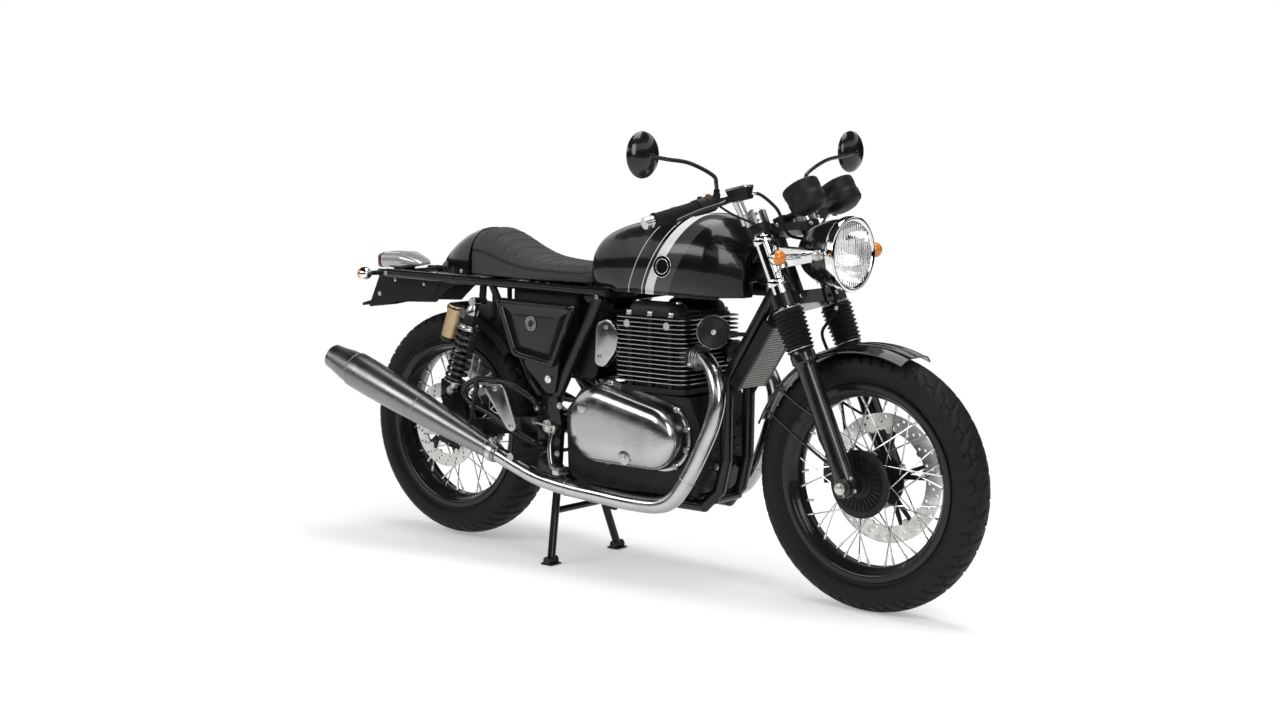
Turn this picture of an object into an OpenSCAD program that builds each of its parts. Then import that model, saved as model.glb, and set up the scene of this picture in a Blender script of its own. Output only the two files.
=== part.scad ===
// Cafe racer motorcycle: a parallel twin in a tubular frame, on its centre stand.
// Millimetres. +X points forward, +Y to the rider's left, +Z up. The origin is on the
// floor, under the middle of the machine.

/* [Overall] */
// Length from the front of the front tyre to the end of the tail
overall_l = 2122; // [2080:1:2180]
// Distance between the two wheel axles
wheelbase = 1398; // [1380:1:1420]
// Angle of the steering head from upright, in degrees
rake = 24; // [22:0.5:26]
// Distance of the fork legs ahead of the steering axis
fork_offset = 38; // [34:1:44]
// Height at which the centre stand holds the rear tyre off the floor
rear_lift = 8; // [4:1:20]

/* [Wheels] */
// Outer radius of the front tyre
front_tyre_r = 318.6; // [308:0.1:322]
// Width of the front tyre
front_tyre_w = 100; // [90:1:104]
// Outer radius of the rear tyre
rear_tyre_r = 319.6; // [308:0.1:324]
// Width of the rear tyre
rear_tyre_w = 130; // [110:1:136]
// Radius of the seat that the tyre beads sit on
bead_r = 228.6; // [226:0.1:230]
// Height of the rim flange above the bead seat
flange_h = 12.5; // [10:0.5:15]
// Radius of the rim bed that the spokes pull on
rim_bed_r = 207; // [200:1:210]
// Width between the front rim's flanges
front_rim_w = 63; // [56:1:68]
// Width between the rear rim's flanges
rear_rim_w = 89; // [80:1:92]
// Number of spokes in a wheel
spoke_count = 36; // [24:4:40]
// Radius of a spoke
spoke_r = 1.8; // [1.5:0.1:2.2]
// Radius of the front brake disc
front_disc_r = 160; // [140:1:165]
// Radius of the rear brake disc
rear_disc_r = 120; // [110:1:125]
// Radius of the wheel spindles
axle_r = 8.5; // [8:0.5:10]

/* [Fork] */
// Half the distance between the fork legs
fork_half = 101; // [98:1:106]
// Radius of the fork's inner tubes
stanchion_r = 20.5; // [18:0.5:22]
// Radius of the fork's lower legs
slider_r = 26; // [24:0.5:27]
// Length of a lower leg above the axle
slider_l = 345; // [320:1:360]
// Length of a rubber gaiter
gaiter_l = 106; // [90:1:112]
// Thickness of the lower yoke
lower_yoke_t = 34; // [26:1:38]
// Distance between the two yokes
yoke_gap = 156; // [146:1:164]
// Thickness of the top yoke
top_yoke_t = 22; // [16:1:26]
// Radius of the steering stem
stem_r = 14; // [12:0.5:16]
// Radius of the steering head tube
head_tube_r = 27; // [24:0.5:30]
// Inner radius of the front mudguard
front_guard_r = 332; // [328:1:336]

/* [Bodywork] */
// Half the width of the fuel tank at its widest
tank_half_w = 138; // [120:1:145]
// Height of the tank's lower edge
tank_bottom = 746; // [742:1:756]
// Height of the tank's top
tank_top = 952; // [930:1:962]
// Half the width of the seat
seat_half_w = 112; // [100:1:120]
// Height of the seat's lowest riding point
seat_h = 806; // [795:1:815]
// Height of the seat's hump
hump_h = 893; // [870:1:900]
// Half the width over the side panels
panel_half_w = 136; // [132:1:142]
// Radius of the headlamp rim
lamp_r = 92; // [80:1:95]

/* [Frame] */
// Radius of the backbone tube
backbone_r = 22; // [19:0.5:24]
// Radius of the cradle tubes
cradle_r = 16; // [14:0.5:17]
// Radius of the seat rails
rail_r = 12; // [11:0.5:14]
// Half the distance between the seat rails
rail_half = 98; // [96:1:102]
// Height of the lower cradle tubes
cradle_z = 206; // [200:1:212]
// Height of the swingarm pivot
pivot_z = 372; // [365:1:380]
// Distance of the swingarm pivot ahead of the rear axle
swingarm_l = 440; // [430:1:460]

/* [Engine and exhaust] */
// Half the width of the crankcase between its side covers
case_half = 108; // [96:1:112]
// How far the right cover stands out of the crankcase
clutch_cover_t = 84; // [70:1:90]
// How far the left cover stands out of the crankcase
alternator_cover_t = 76; // [60:1:84]
// Half the width of the cylinder fins
fin_half = 125; // [110:1:130]
// Thickness of a cooling fin
fin_t = 3; // [2:0.5:4]
// Distance from one fin to the next
fin_pitch = 11.5; // [10:0.5:13]
// Radius of the exhaust pipes
pipe_r = 21.5; // [19:0.5:23]
// Largest radius of a silencer
silencer_r = 51; // [44:1:54]

/* [Controls and stands] */
// Distance of the handlebar ends from the middle
bar_half = 372; // [350:1:380]
// Radius of the handlebar tube
bar_r = 11; // [10:0.5:12.5]
// Radius of a rubber grip
grip_r = 17; // [15:0.5:18.5]
// Radius of a mirror
mirror_r = 55; // [45:1:58]
// Distance of the mirror centres from the middle
mirror_half = 425; // [400:1:440]
// Height of the mirror centres
mirror_h = 1103; // [1080:1:1120]
// Height of the centre stand's pivot
stand_pivot_z = 232; // [226:1:238]
// Half the distance between the centre stand's feet
stand_half = 135; // [125:1:142]
// Length of the side stand's leg
side_stand_l = 200; // [180:1:204]

/* [Hidden] */
$fn = 64;

// Clearances: a running fit, and the gap at which one fixed piece seats on another
run_fit = 0.08;
seat_gap = 0.3;

front_axle_x = overall_l / 2 - front_tyre_r;
front_axle_z = front_tyre_r;
rear_axle_x = front_axle_x - wheelbase;
rear_axle_z = rear_tyre_r + rear_lift;
tail_x = -overall_l / 2;
flange_r = bead_r + flange_h;

// Distances up the fork leg from the front axle
yoke_low = slider_l + gaiter_l + 4;
yoke_low_top = yoke_low + lower_yoke_t;
yoke_top = yoke_low_top + yoke_gap;
yoke_top_top = yoke_top + top_yoke_t;
stanchion_top = yoke_top_top + 34;
clip_low = yoke_top_top + seat_gap;

// A point on the fork, x ahead of the legs' line and z up it, in the machine's frame
function fork_x(x, z) = front_axle_x + x * cos(rake) - z * sin(rake);
function fork_z(x, z) = front_axle_z + x * sin(rake) + z * cos(rake);

// ---------------------------------------------------------------- helpers
function unit(v) = v / norm(v);
function lerp(a, b, t) = a + (b - a) * t;
function last(v) = v[len(v) - 1];

// Points along a smooth curve through the route's own points
function spline_at(p, i, t) =
  let (a = p[max(i - 1, 0)], b = p[i], c = p[i + 1], d = p[min(i + 2, len(p) - 1)])
  0.5 * (2 * b + (c - a) * t + (2 * a - 5 * b + 4 * c - d) * t * t
    + (3 * b - a - 3 * c + d) * t * t * t);
function smooth_route(p, n) =
  [for (i = [0 : len(p) - 2]) for (k = [0 : n - 1]) spline_at(p, i, k / n), last(p)];

// A sideways direction carried along a route without twisting
function side_dir(d, hint) = unit(hint - (hint * d) * d);
function route_dir(p, i) = unit(p[min(i + 1, len(p) - 1)] - p[max(i - 1, 0)]);
function carry(p, i, hint) =
  i == 0 ? side_dir(route_dir(p, 0), hint) : side_dir(route_dir(p, i), carry(p, i - 1, hint));

// Skin over a list of rings with the same number of points, closed at both ends
module skin(rings) {
  n = len(rings[0]);
  m = len(rings);
  pts = [for (r = rings) each r];
  walls = [for (i = [0 : m - 2]) for (j = [0 : n - 1])
    let (a = i * n + j, b = i * n + (j + 1) % n)
    each [[a, b, b + n], [a, b + n, a + n]]];
  start = [[for (j = [n - 1 : -1 : 0]) j]];
  end = [[for (j = [0 : n - 1]) (m - 1) * n + j]];
  polyhedron(pts, concat(walls, start, end), convexity = 8);
}

// Round bar or pipe swept along a route
module sweep(p, r, sides = 12, hint = [0, 1, 0]) {
  rings = [for (i = [0 : len(p) - 1])
    let (d = route_dir(p, i), u = carry(p, i, hint), v = cross(d, u))
    [for (j = [0 : sides - 1]) p[i] + r * (cos(-360 * j / sides) * u + sin(-360 * j / sides) * v)]];
  skin(rings);
}

// Straight bar from a to b
module rod(a, b, r) {
  d = b - a;
  translate(a)
    rotate([0, acos(d[2] / norm(d)), atan2(d[1], d[0])])
      cylinder(h = norm(d), r = r);
}

// Welded run of straight tubes with a ball at each joint
module tube_run(p, r) {
  for (i = [0 : len(p) - 2]) rod(p[i], p[i + 1], r);
  if (len(p) > 2) for (i = [1 : len(p) - 2]) translate(p[i]) sphere(r = r + 0.4, $fn = 32);
}

// The same shape on both sides
module both_sides() {
  children();
  mirror([0, 1, 0]) children();
}

// Disc or ring about the Y axis, between two distances from the middle
module across(r, y0, y1) {
  translate([0, y1, 0]) rotate([90, 0, 0]) cylinder(h = y1 - y0, r = r);
}
module at_front_axle() { translate([front_axle_x, 0, front_axle_z]) children(); }
module at_rear_axle() { translate([rear_axle_x, 0, rear_axle_z]) children(); }
module on_fork() { at_front_axle() rotate([0, -rake, 0]) children(); }

// Plate cut from a side-view outline, between two distances from the middle
module side_plate(outline, y0, y1) {
  translate([0, y1, 0]) rotate([90, 0, 0]) linear_extrude(y1 - y0) polygon(outline);
}
module slab(size, r) {
  linear_extrude(size[2]) offset(r) square([size[0] - 2 * r, size[1] - 2 * r], center = true);
}
// Flat plate with round corners, made of exact arcs
module round_plate(x0, x1, half, r, z0, t) {
  translate([0, 0, z0]) {
    linear_extrude(t) union() {
      translate([x0 + r, -half]) square([x1 - x0 - 2 * r, 2 * half]);
      translate([x0, -half + r]) square([x1 - x0, 2 * (half - r)]);
      for (x = [x0 + r, x1 - r]) for (y = [-half + r, half - r])
        translate([x, y]) circle(r, $fn = 32);
    }
  }
}

// ---------------------------------------------------------------- wheels
tyre_wall = 9;
crown_step = 15;

// Tyre carcass, open towards the rim
module tyre(r, w, rim_w) {
  wide_r = bead_r + (r - bead_r) * 0.5;
  bead_half = rim_w / 2 - seat_gap;
  shoulder_r = flange_r + 2;
  outer = [for (a = [-90 : crown_step : 90]) [wide_r + (r - wide_r) * cos(a), w / 2 * sin(a)]];
  inner = [for (a = [90 : -crown_step : -90])
    [wide_r + (r - tyre_wall - wide_r) * cos(a), (w / 2 - tyre_wall) * sin(a)]];
  rotate([90, 0, 0]) rotate_extrude($fn = 96)
    polygon(concat(
      [[bead_r + seat_gap, -bead_half], [shoulder_r, -bead_half]], outer,
      [[shoulder_r, bead_half], [bead_r + seat_gap, bead_half],
       [bead_r + seat_gap, bead_half - tyre_wall]], inner,
      [[bead_r + seat_gap, -bead_half + tyre_wall]]));
}

// Rim with a drop centre
module rim(rim_w) {
  h = rim_w / 2;
  lip = 4;
  well = 15;
  profile = [[flange_r, h + lip], [flange_r, h + 0.3], [bead_r, h], [bead_r - 3, h - 12],
    [rim_bed_r + 6, well - 3], [rim_bed_r + 6, 3 - well], [bead_r - 3, 12 - h], [bead_r, -h],
    [flange_r, -h - 0.3], [flange_r, -h - lip], [bead_r - 5, -h - 3], [rim_bed_r, -well],
    [rim_bed_r, well], [bead_r - 5, h + 3]];
  rotate([90, 0, 0]) rotate_extrude($fn = 96) polygon(profile);
}

// Crossed wire spokes: half from each hub flange, in pairs that lean both ways
module spokes(hub_r, hub_y, lean) {
  step = 360 / spoke_count;
  for (i = [0 : spoke_count - 1]) {
    side = i % 2 == 0 ? 1 : -1;
    way = floor(i / 2) % 2 == 0 ? 1 : -1;
    rim_a = i * step;
    hub_a = rim_a + way * lean;
    y = side * (hub_y + way * (spoke_r + 0.7));
    a = [hub_r * cos(hub_a), y, hub_r * sin(hub_a)];
    b = [(rim_bed_r + 2) * cos(rim_a), side * (6 + way * (spoke_r + 0.2)), (rim_bed_r + 2) * sin(rim_a)];
    rod(a, b, spoke_r);
  }
}

front_flange_y = 33;
front_flange_r = 70;
front_hub_r = 31;
front_hub_half = 69;
front_cover_r = 83;
front_disc_y = 56;
rear_flange_y = 40;
rear_flange_r = 72;
rear_hub_r = 36;
rear_disc_y = 70;
sprocket_y = 76;
chain_y = 84;
disc_t = 5;
flange_t = 6;
spoke_lean = 42;

module front_wheel() {
  color("dimgray") at_front_axle() difference() {
    union() {
      rim(front_rim_w);
      across(front_hub_r, -front_hub_half, front_disc_y - seat_gap);
      across(front_hub_r - 6, -front_hub_half, front_hub_half);
      for (s = [-1, 1]) across(front_flange_r, s * front_flange_y - flange_t / 2, s * front_flange_y + flange_t / 2);
      across(front_cover_r, -58, -44);
      spokes(front_flange_r - 7, front_flange_y, spoke_lean);
    }
    across(axle_r + run_fit, -90, 90);
  }
}
module front_tyre() { color("black") at_front_axle() tyre(front_tyre_r, front_tyre_w, front_rim_w); }

// Drilled brake disc on a five-armed carrier
module brake_disc(r, inner_r, bore_r, y, arms) {
  arm_w = 20;
  hole_r = 4;
  hole_count = 20;
  translate([0, y + disc_t, 0]) rotate([90, 0, 0]) linear_extrude(disc_t) difference() {
    circle(r, $fn = 96);
    difference() {
      circle(inner_r, $fn = 96);
      circle(bore_r + 24);
      for (i = [0 : arms - 1]) rotate(13 + i * 360 / arms)
        translate([bore_r + 10, -arm_w / 2]) square([inner_r - bore_r + 6, arm_w]);
    }
    circle(bore_r);
    for (i = [0 : hole_count - 1]) rotate((i + 0.5) * 360 / hole_count)
      translate([(r + inner_r) / 2 + (i % 2 == 0 ? 9 : -9), 0]) circle(hole_r, $fn = 24);
  }
}
module front_disc() {
  color("silver") at_front_axle()
    brake_disc(front_disc_r, front_disc_r - 42, front_hub_r - 6 + seat_gap, front_disc_y, 5);
}
module rear_wheel() {
  hub_end = sprocket_y - seat_gap;
  color("dimgray") at_rear_axle() difference() {
    union() {
      rim(rear_rim_w);
      across(rear_hub_r, -rear_disc_y + seat_gap, hub_end);
      across(rear_hub_r - 8, -92, 92);
      for (s = [-1, 1]) across(rear_flange_r, s * rear_flange_y - flange_t / 2, s * rear_flange_y + flange_t / 2);
      across(rear_flange_r - 4, rear_flange_y, hub_end);
      spokes(rear_flange_r - 7, rear_flange_y, spoke_lean);
    }
    across(axle_r + run_fit, -100, 100);
  }
}
module rear_tyre() { color("black") at_rear_axle() tyre(rear_tyre_r, rear_tyre_w, rear_rim_w); }
module rear_disc() {
  color("silver") at_rear_axle()
    brake_disc(rear_disc_r, rear_disc_r - 36, rear_hub_r - 8 + seat_gap, -rear_disc_y - disc_t, 5);
}

// Chain drive, on the left
sprocket_r = 92;
front_sprocket_r = 36;
front_sprocket_x = -100;
front_sprocket_z = 352;
chain_t = 13;
chain_w = 14;
module rear_sprocket() {
  plate_t = 7;
  color("gray") at_rear_axle() difference() {
    across(sprocket_r, sprocket_y, sprocket_y + plate_t);
    across(rear_hub_r - 8 + seat_gap, sprocket_y - 1, sprocket_y + plate_t + 1);
    for (i = [0 : 5]) rotate([0, i * 60, 0])
      translate([60, sprocket_y + plate_t + 1, 0]) rotate([90, 0, 0]) cylinder(h = plate_t + 2, r = 13, $fn = 32);
  }
}
chain_gap = 5;
chain_span = norm([front_sprocket_x - rear_axle_x, front_sprocket_z - rear_axle_z]);
chain_tilt = atan2(front_sprocket_z - rear_axle_z, front_sprocket_x - rear_axle_x);
chain_wrap = acos((sprocket_r - front_sprocket_r) / chain_span);
// Outline of a belt round the two sprockets, at a given distance from their rims
module chain_outline(out) {
  ra = sprocket_r + out;
  rb = front_sprocket_r + out;
  c = cos(chain_wrap);
  h = sin(chain_wrap);
  translate([rear_axle_x, rear_axle_z]) rotate(chain_tilt) {
    circle(ra);
    translate([chain_span, 0]) circle(rb);
    polygon([[ra * c, ra * h], [chain_span + rb * c, rb * h], [chain_span + rb * c, -rb * h], [ra * c, -ra * h]]);
  }
}
// Half ring of chain round a sprocket, its opening towards +X
module chain_turn(r) {
  difference() {
    circle(r + chain_gap + chain_t);
    circle(r + chain_gap);
    translate([(r + chain_gap) * cos(chain_wrap) + 2, -r - 40]) square([2 * r + 80, 2 * r + 80]);
  }
}
module drive_chain() {
  run_l = chain_span * sin(chain_wrap);
  color("dimgray") translate([rear_axle_x, chain_y + chain_w / 2 - 5, rear_axle_z]) rotate([90, -chain_tilt, 0])
    linear_extrude(chain_w) {
      chain_turn(sprocket_r);
      translate([chain_span, 0]) difference() {
        circle(front_sprocket_r + chain_gap + chain_t);
        circle(front_sprocket_r + chain_gap);
        translate([-100 + (front_sprocket_r + chain_gap) * cos(chain_wrap) - 2, -70]) square([100, 140]);
      }
      rotate(chain_wrap - 90) translate([-6, sprocket_r + chain_gap + 1]) square([run_l + 12, chain_t - 2]);
      rotate(90 - chain_wrap) translate([-6, -sprocket_r - chain_gap - chain_t + 1]) square([run_l + 12, chain_t - 2]);
    }
}
module chain_guard() {
  x0 = rear_axle_x - 30;
  x1 = rear_axle_x + 290;
  z = rear_axle_z + sprocket_r + 24;
  h = 5;
  drop = 44;
  guard_half = 15;
  plate_y = chain_y + guard_half + 7;
  color("black") {
    difference() {
      side_plate([[x0, z - drop], [x0, z + h], [x1, z + h - 12], [x1, z - drop]], chain_y - guard_half, plate_y);
      side_plate([[x0 - 1, z - drop - 1], [x0 - 1, z], [x1 + 1, z - 12], [x1 + 1, z - drop - 1]],
        chain_y - guard_half - 1, plate_y - 4);
    }
  }
}

// ---------------------------------------------------------------- frame
backbone_front = [fork_x(-fork_offset, yoke_low_top + 75) - 4, 0, fork_z(-fork_offset, yoke_low_top + 75)];
backbone_rear = [-95, 0, 722];
function backbone_at(x) = lerp(backbone_front[2], backbone_rear[2],
  (backbone_front[0] - x) / (backbone_front[0] - backbone_rear[0]));
head_gap = 5;
pivot_x = rear_axle_x + swingarm_l;
pivot_r = 10;
plate_in = 98;
plate_out = 114;

// Space of the steering head tube, a little larger for what seats on it
module head_tube_space(extra) {
  on_fork() translate([-fork_offset, 0, yoke_low_top + head_gap])
    cylinder(h = yoke_gap - 2 * head_gap, r = head_tube_r + extra);
}
module frame_spine() {
  cross_half = rail_half - rail_r - seat_gap;
  color("black") difference() {
    union() {
      head_tube_space(0);
      rod(backbone_rear, backbone_front, backbone_r);
      translate([backbone_rear[0], 0, backbone_rear[2] + 4]) across(backbone_r - 4, -cross_half, cross_half);
      rod([backbone_front[0] - 70, 0, backbone_at(backbone_front[0] - 70) - 10],
        [fork_x(-fork_offset, yoke_low_top + 26) - 4, 0, fork_z(-fork_offset, yoke_low_top + 26)], backbone_r - 6);
    }
    on_fork() translate([-fork_offset, 0, yoke_low_top]) cylinder(h = yoke_gap, r = stem_r + run_fit);
  }
}

down_half = 45;
down_low = [335, 536];
down_head = [fork_x(-fork_offset, yoke_low_top + 54), fork_z(-fork_offset, yoke_low_top + 54)];
low_half = 62;
low_rear_x = -150;
stand_x = pivot_x - 6;
stand_pin_r = 9;
side_stand_pivot = [-70, 116, 212];
side_stand_tilt = -65;
// Frame of the side stand: Z along its pivot, out and up; X forward
module at_side_stand() { translate(side_stand_pivot) rotate([side_stand_tilt, 0, 0]) children(); }
module frame_cradle() {
  down = [[down_head[0], 24, down_head[1]], [down_low[0], down_half, down_low[1]], [332, down_half, 330],
    [312, down_half, 250], [268, 52, cradle_z], [low_rear_x, low_half, cradle_z],
    [-176, plate_in + 2, 238], [pivot_x + 8, plate_in + 6, 276]];
  side_low = [pivot_x + 4, plate_out - cradle_r, pivot_z + 60];
  side_top = [-46, rail_half, rail_z - 10];
  plate = [[pivot_x - 40, 262], [pivot_x - 44, pivot_z + 20], [pivot_x - 22, pivot_z + 78],
    [pivot_x + 30, pivot_z + 78], [pivot_x + 44, pivot_z + 10], [pivot_x + 34, 262], [stand_x + 22, 212],
    [stand_x - 22, 212]];
  gusset_x = backbone_front[0] - 70;
  color("black") {
    difference() {
      both_sides() tube_run(down, cradle_r);
      head_tube_space(seat_gap);
      rod(backbone_rear, backbone_front, backbone_r + seat_gap);
      rod([gusset_x, 0, backbone_at(gusset_x) - 10],
        [fork_x(-fork_offset, yoke_low_top + 26) - 4, 0, fork_z(-fork_offset, yoke_low_top + 26)],
        backbone_r - 6 + seat_gap);
    }
    difference() {
      both_sides() tube_run([side_low, side_top], cradle_r);
      both_sides() rod([0, rail_half, rail_at(0)], [-200, rail_half, rail_at(-200)], rail_r + seat_gap);
    }
    difference() {
      both_sides() side_plate(plate, plate_in, plate_out);
      translate([pivot_x, 0, pivot_z]) across(pivot_r + run_fit, -130, 130);
      translate([stand_x, 0, stand_pivot_z]) across(stand_pin_r + run_fit, -130, 130);
    }
    rod([low_rear_x + 10, -low_half, cradle_z], [low_rear_x + 10, low_half, cradle_z], cradle_r - 3);
    rod([300, -down_half - 4, 226], [300, down_half + 4, 226], cradle_r - 4);
    // lugs: the side stand's on the left, the engine's front mounts
    difference() {
      at_side_stand() translate([0, 0, -36]) cylinder(h = 26 - seat_gap, r = 13);
      at_side_stand() translate([0, 0, -24]) cylinder(h = 40, r = 7 + run_fit);
    }
    rod([side_stand_pivot[0], low_half - 4, cradle_z], [side_stand_pivot[0], 87, 200], 9);
    both_sides() translate([302 + seat_gap, down_half - 8, 298]) cube([20, 16, 28]);
  }
}

rail_z = 739;
rail_rear_x = -868;
rail_rear_z = 752;
function rail_at(x) = lerp(rail_z, rail_rear_z, (-60 - x) / (-60 - rail_rear_x));
shock_top = [-478, 128, 692];
shock_low = [-556, 142, 442];
eye_gap = 1;
module seat_rails() {
  front = [-24, rail_half, rail_at(-24)];
  strut_top = [-446, rail_half, rail_at(-446)];
  strut_low = [pivot_x - 84, rail_half - 8, pivot_z + 112];
  foot = [pivot_x - 24, (plate_in + plate_out) / 2, pivot_z + 78 + seat_gap];
  color("black") {
    both_sides() {
      tube_run([front, [rail_rear_x, rail_half, rail_rear_z]], rail_r);
      tube_run([strut_top, strut_low], rail_r - 2);
      translate(strut_low) sphere(r = rail_r - 1.6, $fn = 32);
      difference() {
        rod(strut_low, foot - [0, 0, 12], rail_r - 2);
        translate(foot - [60, 40, 80]) cube([120, 80, 80]);
      }
      rod([shock_top[0], rail_half - 4, rail_at(shock_top[0])], [shock_top[0], rail_half + 2, shock_top[2]], 10);
      translate([shock_top[0], 0, shock_top[2]]) across(9, rail_half - 8, shock_top[1] - 12 - eye_gap);
    }
    for (x = [-240, -500, rail_rear_x + 16]) translate([x, 0, rail_at(x)])
      across(rail_r - 4, -rail_half, rail_half);
  }
}

arm_h = 44;
arm_front_y = 74;
arm_rear_y = 118;
arm_w = 26;
// Threads for a paddock stand's bobbins
bobbin_r = 4;
bobbin_depth = 18;
bobbin_x = rear_axle_x + 70;
bobbin_z = rear_axle_z + 6;
module swingarm() {
  tilt = atan2(pivot_z - rear_axle_z, swingarm_l);
  len_arm = norm([swingarm_l, pivot_z - rear_axle_z]);
  tip = 34;
  h = arm_w / 2;
  plan = [[18, arm_front_y - h], [18, arm_front_y + h], [-130, arm_front_y + h + 3],
    [-235, arm_rear_y + h], [-len_arm - tip, arm_rear_y + h], [-len_arm - tip, arm_rear_y - h],
    [-245, arm_rear_y - h], [-140, arm_front_y - h + 3]];
  color("black") difference() {
    union() {
      translate([pivot_x, 0, pivot_z]) {
        rotate([0, -tilt, 0]) both_sides()
          translate([0, 0, -arm_h / 2]) linear_extrude(arm_h) polygon(plan);
        across(26, -plate_in + seat_gap, plate_in - seat_gap);
        rotate([0, -tilt, 0]) translate([-72, 0, 0]) across(17, -arm_front_y, arm_front_y);
      }
      both_sides() {
        translate([shock_low[0], 0, shock_low[2]]) across(12, arm_rear_y - 12, shock_low[1] - 12 - eye_gap);
        side_plate([[shock_low[0] - 34, 345], [shock_low[0] - 11, shock_low[2] + 3],
          [shock_low[0] + 11, shock_low[2] + 3], [shock_low[0] + 50, 350]], arm_rear_y - 10, arm_rear_y + 8);
      }
    }
    at_rear_axle() across(axle_r + run_fit, -160, 160);
    translate([pivot_x, 0, pivot_z]) across(pivot_r + run_fit, -130, 130);
    both_sides() translate([bobbin_x, 0, bobbin_z])
      across(bobbin_r, arm_rear_y + arm_w / 2 - bobbin_depth, arm_rear_y + arm_w / 2 + 1);
  }
}
module rear_axle() {
  end = arm_rear_y + arm_w / 2 + seat_gap;
  color("silver") {
    at_rear_axle() {
      across(axle_r, -end - 10, end + 10);
      across(axle_r + 6, end, end + 10);
      across(axle_r + 6, -end - 10, -end);
    }
    translate([pivot_x, 0, pivot_z]) {
      across(pivot_r, -plate_out - 8, plate_out + 8);
      across(pivot_r + 7, plate_out + seat_gap, plate_out + 9);
      across(pivot_r + 7, -plate_out - 9, -plate_out - seat_gap);
    }
  }
}

// ---------------------------------------------------------------- suspension
// Frame of a shock absorber: the origin at the lower eye, Z up the damper
module at_shock() {
  d = shock_top - shock_low;
  translate(shock_low) rotate([-atan2(d[1], norm([d[0], d[2]])), 0, 0])
    rotate([0, atan2(d[0], d[2]), 0]) children();
}
shock_l = norm(shock_top - shock_low);
spring_low = 36;
spring_high = 178;
spring_r = 27;
wire_r = 4.5;
reservoir_low = 126;
module shock_absorbers() {
  can_r = 17;
  color("silver") both_sides() at_shock() {
    across(12, -12, 12);
    translate([0, 0, shock_l]) across(12, -12, 12);
    cylinder(h = spring_low - wire_r - 1, r = 11);
    translate([0, 0, spring_low - wire_r - 8]) cylinder(h = 7.7, r = spring_r + wire_r);
    translate([0, 0, spring_low - wire_r - 2]) cylinder(h = 80, r = can_r);
    translate([0, 0, spring_low + 70]) cylinder(h = spring_high - spring_low - 60, r = 6);
    translate([0, 0, spring_high + wire_r + 0.3]) cylinder(h = 10, r = spring_r + wire_r);
    translate([0, 0, spring_high + wire_r + 9]) cylinder(h = shock_l - spring_high - wire_r - 31, r = 19);
    translate([0, 0, shock_l - 30]) cylinder(h = 26, r = 10);
    translate([-56, 8, reservoir_low]) cylinder(h = 106, r = 22);
    translate([-58, -4, reservoir_low + 80]) cube([62, 20, 24]);
  }
}
module shock_springs() {
  turns = 8;
  per_turn = 10;
  helix = [for (i = [0 : turns * per_turn])
    [spring_r * cos(360 * i / per_turn), spring_r * sin(360 * i / per_turn),
     lerp(spring_low, spring_high, i / (turns * per_turn))]];
  color("black") both_sides() at_shock() sweep(helix, wire_r, 6, [0, 0, 1]);
}

// ---------------------------------------------------------------- engine
case_outline = [[-152, 262], [-156, 420], [-100, 486], [20, 494], [262, 488], [296, 420], [302, 306],
  [270, 240], [60, 228], [-110, 230]];
block_x0 = 15;
block_x1 = 256;
block_z0 = 494 + seat_gap;
head_z0 = 552;
head_z1 = 692;
module crankcase() {
  color("gray") difference() {
    union() {
      side_plate(case_outline, -case_half, case_half);
      side_plate([[-20, 231], [170, 231], [150, 196], [0, 196]], -34, 34);
    }
    translate([0, case_half + 1, 0]) rotate([90, 0, 0]) linear_extrude(case_half + 1 - 64)
      chain_outline(chain_gap + chain_t + 4);
  }
}
// Rounded cover of a crankcase side, standing out by t: hulled discs with a domed edge
module side_cover(t) {
  big = [8, 404];
  small = [182, 386];
  big_r = 110;
  small_r = 92;
  edge = 20;
  hull() {
    translate([big[0], t - edge, big[1]]) across(big_r, -t + edge, 0);
    translate([small[0], t - edge, small[1]]) across(small_r, -t + edge, 0);
    translate([big[0] + 4, t - 1, big[1]]) across(big_r - edge, 0, 1);
    translate([small[0] - 4, t - 1, small[1]]) across(small_r - edge, 0, 1);
    translate([big[0] + 1, t - edge / 3, big[1]]) across(big_r - edge / 3, -1, 0);
    translate([small[0] - 1, t - edge / 3, small[1]]) across(small_r - edge / 3, -1, 0);
  }
}
module clutch_cover() {
  color("silver") translate([0, -case_half - seat_gap, 0]) mirror([0, 1, 0]) side_cover(clutch_cover_t, $fn = 48);
}
module alternator_cover() {
  color("silver") {
    translate([0, case_half + seat_gap, 0]) side_cover(alternator_cover_t, $fn = 48);
    side_plate([[-150, 292], [-150, 410], [-110, 446], [-60, 446], [-60, 292]], case_half + seat_gap, case_half + 30);
  }
}
// Stack of cooling fins round a core
module finned(z0, z1, half, first) {
  core_in = 20;
  corner = 34;
  round_plate(block_x0 + core_in, block_x1 - core_in, half - core_in, corner - 14, z0, z1 - z0);
  for (z = [z0 + first : fin_pitch : z1 - fin_t - 1])
    round_plate(block_x0, block_x1, half, corner, z, fin_t);
}
module cylinder_block() { color("black") finned(block_z0, head_z0 - seat_gap, fin_half, 26); }
port_y = 80;
port_z = 590;
module cylinder_head() {
  cover_z1 = 724;
  color("black") {
    finned(head_z0, head_z1, fin_half, 4);
    both_sides() translate([block_x1 - 22, port_y, port_z]) rotate([0, 90, 0]) cylinder(h = 28, r = pipe_r + 8);
    difference() {
      round_plate(block_x0 + 34, block_x1 - 34, fin_half - 16, 30, head_z1 - 1, cover_z1 - head_z1 + 1);
      rod(backbone_rear, backbone_front, backbone_r + 6);
    }
  }
}
intake_y = 56;
module intake() {
  box_x0 = -158;
  box_x1 = -66;
  color("dimgray") {
    side_plate([[box_x0, 500], [box_x0 + 6, 640], [-66, 694], [box_x1, 560], [box_x1 - 20, 500]], -74, 74);
    both_sides() rod([box_x1 - 2, intake_y, 632], [block_x0 - seat_gap, intake_y, 632], 25);
  }
}

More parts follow.
